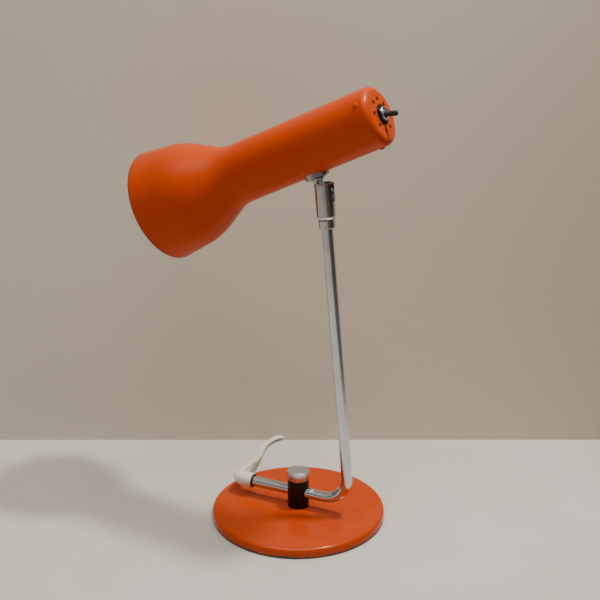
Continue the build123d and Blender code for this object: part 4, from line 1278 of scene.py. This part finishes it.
class LAMP_OT_shade(bpy.types.Operator):
    """Spin the one-piece shade, and make its vented cap."""

    bl_idname = "desk_lamp.shade"
    bl_label = "Shade and cap"

    def execute(self, context):
        self.shade()
        self.cap()
        dress("cap_screws")
        return {"FINISHED"}

    def shade(self):
        """Outer wall, rounded rim and inner wall in one closed turned shell."""
        outer = shade_wall(0)
        inner = shade_wall(SHADE_WALL)
        middle = (outer[-1] + inner[-1]) / 2
        reach = (outer[-1] - inner[-1]).length / 2
        tilt = radians(MOUTH_ANGLE)
        lip = []
        for step in range(1, 8):
            angle = radians(90 - 180 * step / 8) + tilt
            lip.append(middle + reach * Vector((cos(angle), sin(angle))))
        outline = [*outer, *lip, *reversed(inner)]
        mesh = turned_mesh("shade_shell", outline, SHADE_PLACE, 192)
        back = SHADE_PLACE.inverted()
        radii = [(point.x, point.y) for point in outer]

        def outer_radius(along):
            nearest = min(radii, key=lambda pair: abs(pair[0] - along))
            return nearest[1]

        def inside_at(place):
            local = back @ place
            radius = sqrt(local.x**2 + local.y**2)
            return 1.0 if radius < outer_radius(local.z) - 0.55 * SHADE_WALL else 0.0

        def edge_at(place):
            local = back @ place
            from_rim = SHADE_LENGTH - local.z
            return max(0.0, 1 - from_rim / (1.6 * MM)) if from_rim < 2 * MM else 0.0

        paint(mesh, "inside", inside_at)
        paint(mesh, "edge", edge_at)
        piece = new_object("shade_shell", mesh, FINISHES["shade_enamel"])
        settle(piece, "head", "shade_enamel", "shade")

    def cap(self):
        """The cap's face with its bead and skirt, drilled for the vents."""
        skirt = SHADE_REAR_R - SHADE_WALL - 0.05 * MM
        outline = rounded(
            [
                (CAP_FACE, BUSHING_HOLE_R, 0.15 * MM),
                (CAP_FACE, SHADE_REAR_R, CAP_EDGE_R - 0.01 * MM),
                (SHADE_START, SHADE_REAR_R, 0),
                (SHADE_START, skirt, 0),
                (CAP_DEPTH, skirt, 0.3 * MM),
                (CAP_DEPTH, skirt - SHEET, 0.3 * MM),
                (CAP_FACE + SHEET, skirt - SHEET, CAP_EDGE_R - SHEET - SHADE_REAR_R + skirt),
                (CAP_FACE + SHEET, BUSHING_HOLE_R, 0.15 * MM),
            ],
            10,
        )
        turned = turned_mesh("cap_blank", outline, UPRIGHT, 128)
        blank = new_object("cap_blank", turned, FINISHES["orange_enamel"])
        mesh = run_tree(
            blank,
            build_vent_tree(),
            "cap",
            Count=VENT_COUNT,
            Ring_radius=VENT_CIRCLE_R,
            Vent_radius=VENT_R,
            First=radians(VENT_START),
            Finish=FINISHES["orange_enamel"],
        )
        mesh.transform(SHADE_PLACE)
        mesh.shade_smooth()
        mesh.set_sharp_from_angle(angle=radians(30))
        piece = new_object("cap", mesh, FINISHES["orange_enamel"])
        settle(piece, "head", "orange_enamel", "rear_cap")


class LAMP_OT_fittings(bpy.types.Operator):
    """Dress the switch, the lampholder, the bulb and their leads."""

    bl_idname = "desk_lamp.fittings"
    bl_label = "Switch, lampholder and bulb"

    def execute(self, context):
        dress("switch_body", "switch_washer", "switch_terminals", "toggle_lever", "head_leads")
        dress("switch_nut", finish="dark_steel")
        dress("switch_bushing", finish="thread_chrome")
        dress("holder_bracket", "lampholder", "holder_shell", "holder_nipple", "nipple_nut")
        dress("bulb_glass", "bulb_cap", "bulb_contact")
        return {"FINISHED"}


# ================================================================ the stage
CAMERA_AT = Vector((0.3799, -0.7951, 0.4938))
CAMERA_WAY = Vector((-0.409, 0.860, -0.3055))
SIDEWAYS = Vector((0.903, 0.4296, 0))  # to the right in the camera's view
DEEPER = Vector((-0.4296, 0.903, 0))  # away from the camera along the table
KEY_WAY = Vector((0.389, 0.169, 0.906))  # from the bell to the key light
KEY_DISTANCE = 1.1
KEY_AIM = 0.2  # along the shade from its rear
KEY_SIZE = 0.09
CEILING_AT = Vector((0.0, -0.25, 1.9))
CEILING_TARGET = Vector((0, 0.05, 0.1))
CEILING_SIZE = 1.2
CEILING_SHARE = 1.5  # of the key light's power
# painted shade on the wall: where its colour darkens towards the right
WALL_PAINTED_SHADE = (-0.05, 0.50)  # where the wall begins and ends darkening, along SIDEWAYS
# painted shade on the table: where its colour darkens towards the right, and how dark at most
TABLE_FADE = (0.26, 0.62)
TABLE_FADE_MOST = 0.85
ROOM_FADE = (0.45, 0.85)  # as the cosine of the angle from SIDEWAYS
ROOM_FADE_MOST = 0.9


class LAMP_OT_stage(bpy.types.Operator):
    """Set the table, the wall, the lights and the camera."""

    bl_idname = "desk_lamp.stage"
    bl_label = "Stage"

    def execute(self, context):
        stage = context.scene.lamp_stage
        self.table(stage)
        self.wall(stage)
        self.lights(stage)
        self.camera(context, stage)
        return {"FINISHED"}

    def sheet(self, name, corner, right, up, material):
        """A flat quad for the stage."""
        mesh = bpy.data.meshes.new(name)
        corners = [corner, corner + right, corner + right + up, corner + up]
        mesh.from_pydata([tuple(point) for point in corners], [], [(0, 1, 2, 3)])
        piece = new_object(name, mesh, material)

    def table(self, stage):
        """A pale table top with faint wear, and painted shade darkening it towards the right."""
        finish = Finish("Table top", Specular_IOR_Level=0.4)
        tree = finish.tree
        cloud = ramp(tree, noise(tree, finish.place, 6.0, 5.0, 0.6), 0.35, 0.7)
        worn = tuple(channel * 0.93 for channel in stage.table)
        top = mix_colour(tree, cloud, rgba(stage.table), rgba(worn))
        across = reach_along(tree, finish.place, SIDEWAYS)
        # painted shade: the table's colour darkens towards the right
        unlit = ramp(tree, across, *TABLE_FADE, 0.0, TABLE_FADE_MOST)
        finish.set("Base Color", mix_colour(tree, unlit, top, (0.06, 0.055, 0.05, 1)))
        finish.set("Roughness", ramp(tree, noise(tree, finish.place, 20.0, 4.0), 0.3, 0.7, 0.34, 0.5))
        corner = -SIDEWAYS * 3 - DEEPER * 3
        self.sheet("table_top", corner, SIDEWAYS * 6, DEEPER * 6, finish.material)

    def wall(self, stage):
        """A plain wall with painted shade darkening it towards the right, seen from its front only, so that other
        views see past it.
        """
        finish = Finish("Wall", Roughness=0.9)
        tree = finish.tree
        cloud = noise(tree, finish.place, 1.4, 3.0)
        worn = tuple(channel * 0.94 for channel in stage.wall)
        aged_and_painted_shade = tuple(channel * share for channel, share in zip(stage.wall, (0.78, 0.74, 0.68)))
        across = reach_along(tree, finish.place, SIDEWAYS)
        colour = mix_colour(tree, ramp(tree, cloud, 0.3, 0.7), rgba(stage.wall), rgba(worn))
        # painted shade: the wall's colour darkens towards the right
        share = ramp(tree, across, *WALL_PAINTED_SHADE)
        finish.set("Base Color", mix_colour(tree, share, colour, rgba(aged_and_painted_shade)))
        clear = add(tree, "ShaderNodeBsdfTransparent")
        both = add(tree, "ShaderNodeMixShader")
        feed(tree, both.inputs[0], add(tree, "ShaderNodeNewGeometry").outputs["Backfacing"])
        feed(tree, both.inputs[1], finish.shader.outputs[0])
        feed(tree, both.inputs[2], clear.outputs[0])
        feed(tree, tree.nodes["Material Output"].inputs["Surface"], both.outputs[0])
        corner = DEEPER * stage.wall_distance - SIDEWAYS * 3
        self.sheet("wall", corner, SIDEWAYS * 6, Vector((0, 0, 3)), finish.material)

    def lights(self, stage):
        """A soft key above right, a broad ceiling light, and a dim room round them."""
        bell = REAR + TO_MOUTH * KEY_AIM
        self.area("key", bell + KEY_WAY.normalized() * KEY_DISTANCE, bell, KEY_SIZE, stage.key_power)
        power = stage.key_power * CEILING_SHARE
        self.area("ceiling", CEILING_AT, CEILING_TARGET, CEILING_SIZE, power)
        world = bpy.data.worlds.new("Room")
        bpy.context.scene.world = world
        world.use_nodes = True
        tree = world.node_tree
        height = add(tree, "ShaderNodeSeparateXYZ", add(tree, "ShaderNodeTexCoord").outputs["Generated"])
        share = ramp(tree, height.outputs["Z"], -0.1, 0.9)
        room = mix_colour(tree, share, (0.14, 0.12, 0.105, 1), (0.54, 0.52, 0.49, 1))
        way = add(tree, "ShaderNodeTexCoord").outputs["Generated"]
        across = reach_along(tree, way, SIDEWAYS)
        unlit = ramp(tree, across, *ROOM_FADE, 0.0, ROOM_FADE_MOST)
        room = mix_colour(tree, unlit, room, (0.012, 0.010, 0.009, 1))
        feed(tree, tree.nodes["Background"].inputs["Color"], room)
        feed(tree, tree.nodes["Background"].inputs["Strength"], 1.0)

    def area(self, name, place, target, size, power):
        """A square area light that faces a target."""
        data = bpy.data.lights.new(name, "AREA")
        data.size = size
        data.energy = power
        lamp = bpy.data.objects.new(name, data)
        lamp.location = place
        lamp.rotation_euler = (target - place).to_track_quat("-Z", "Y").to_euler()
        bpy.context.scene.collection.objects.link(lamp)

    def camera(self, context, stage):
        """The camera, level from side to side and looking a little down."""
        data = bpy.data.cameras.new("camera")
        data.sensor_width = 36.0
        data.lens = stage.lens
        data.clip_start = 0.05
        camera = bpy.data.objects.new("camera", data)
        camera.location = CAMERA_AT
        camera.rotation_euler = CAMERA_WAY.to_track_quat("-Z", "Y").to_euler()
        context.scene.collection.objects.link(camera)
        context.scene.camera = camera


# ================================================================ the panel
class LAMP_PT_build(bpy.types.Panel):
    """Lists the lamp's pieces and settings."""

    bl_idname = "LAMP_PT_build"
    bl_label = "Desk lamp"
    bl_space_type = "VIEW_3D"
    bl_region_type = "UI"
    bl_category = "Desk lamp"

    def draw(self, context):
        for group in (context.scene.lamp_finishes, context.scene.lamp_flex, context.scene.lamp_stage):
            box = self.layout.box()
            for name in group.bl_rna.properties.keys():
                if name not in {"rna_type", "name"}:
                    box.prop(group, name)
        for operator in OPERATORS:
            self.layout.operator(operator.bl_idname)


OPERATORS = (
    LAMP_OT_stage,
    LAMP_OT_foot,
    LAMP_OT_clamp,
    LAMP_OT_tube,
    LAMP_OT_joint,
    LAMP_OT_shade,
    LAMP_OT_fittings,
    LAMP_OT_plug,
    LAMP_OT_flex,
)
CLASSES = (LampFinishes, LampFlex, LampStage, *OPERATORS, LAMP_PT_build)


def register():
    """Register the classes and hang the settings on the scene."""
    for cls in CLASSES:
        bpy.utils.register_class(cls)
    bpy.types.Scene.lamp_finishes = bpy.props.PointerProperty(type=LampFinishes)
    bpy.types.Scene.lamp_flex = bpy.props.PointerProperty(type=LampFlex)
    bpy.types.Scene.lamp_stage = bpy.props.PointerProperty(type=LampStage)


def unregister():
    """Take the settings and classes away again."""
    del bpy.types.Scene.lamp_stage
    del bpy.types.Scene.lamp_flex
    del bpy.types.Scene.lamp_finishes
    for cls in reversed(CLASSES):
        bpy.utils.unregister_class(cls)


def main():
    """Build the finishes and every piece."""
    register()
    build_finishes(bpy.context.scene.lamp_finishes)
    bpy.ops.desk_lamp.stage()
    bpy.ops.desk_lamp.foot()
    bpy.ops.desk_lamp.clamp()
    bpy.ops.desk_lamp.tube()
    bpy.ops.desk_lamp.joint()
    bpy.ops.desk_lamp.shade()
    bpy.ops.desk_lamp.fittings()
    bpy.ops.desk_lamp.plug()
    bpy.ops.desk_lamp.flex()


if __name__ == "__main__":
    main()
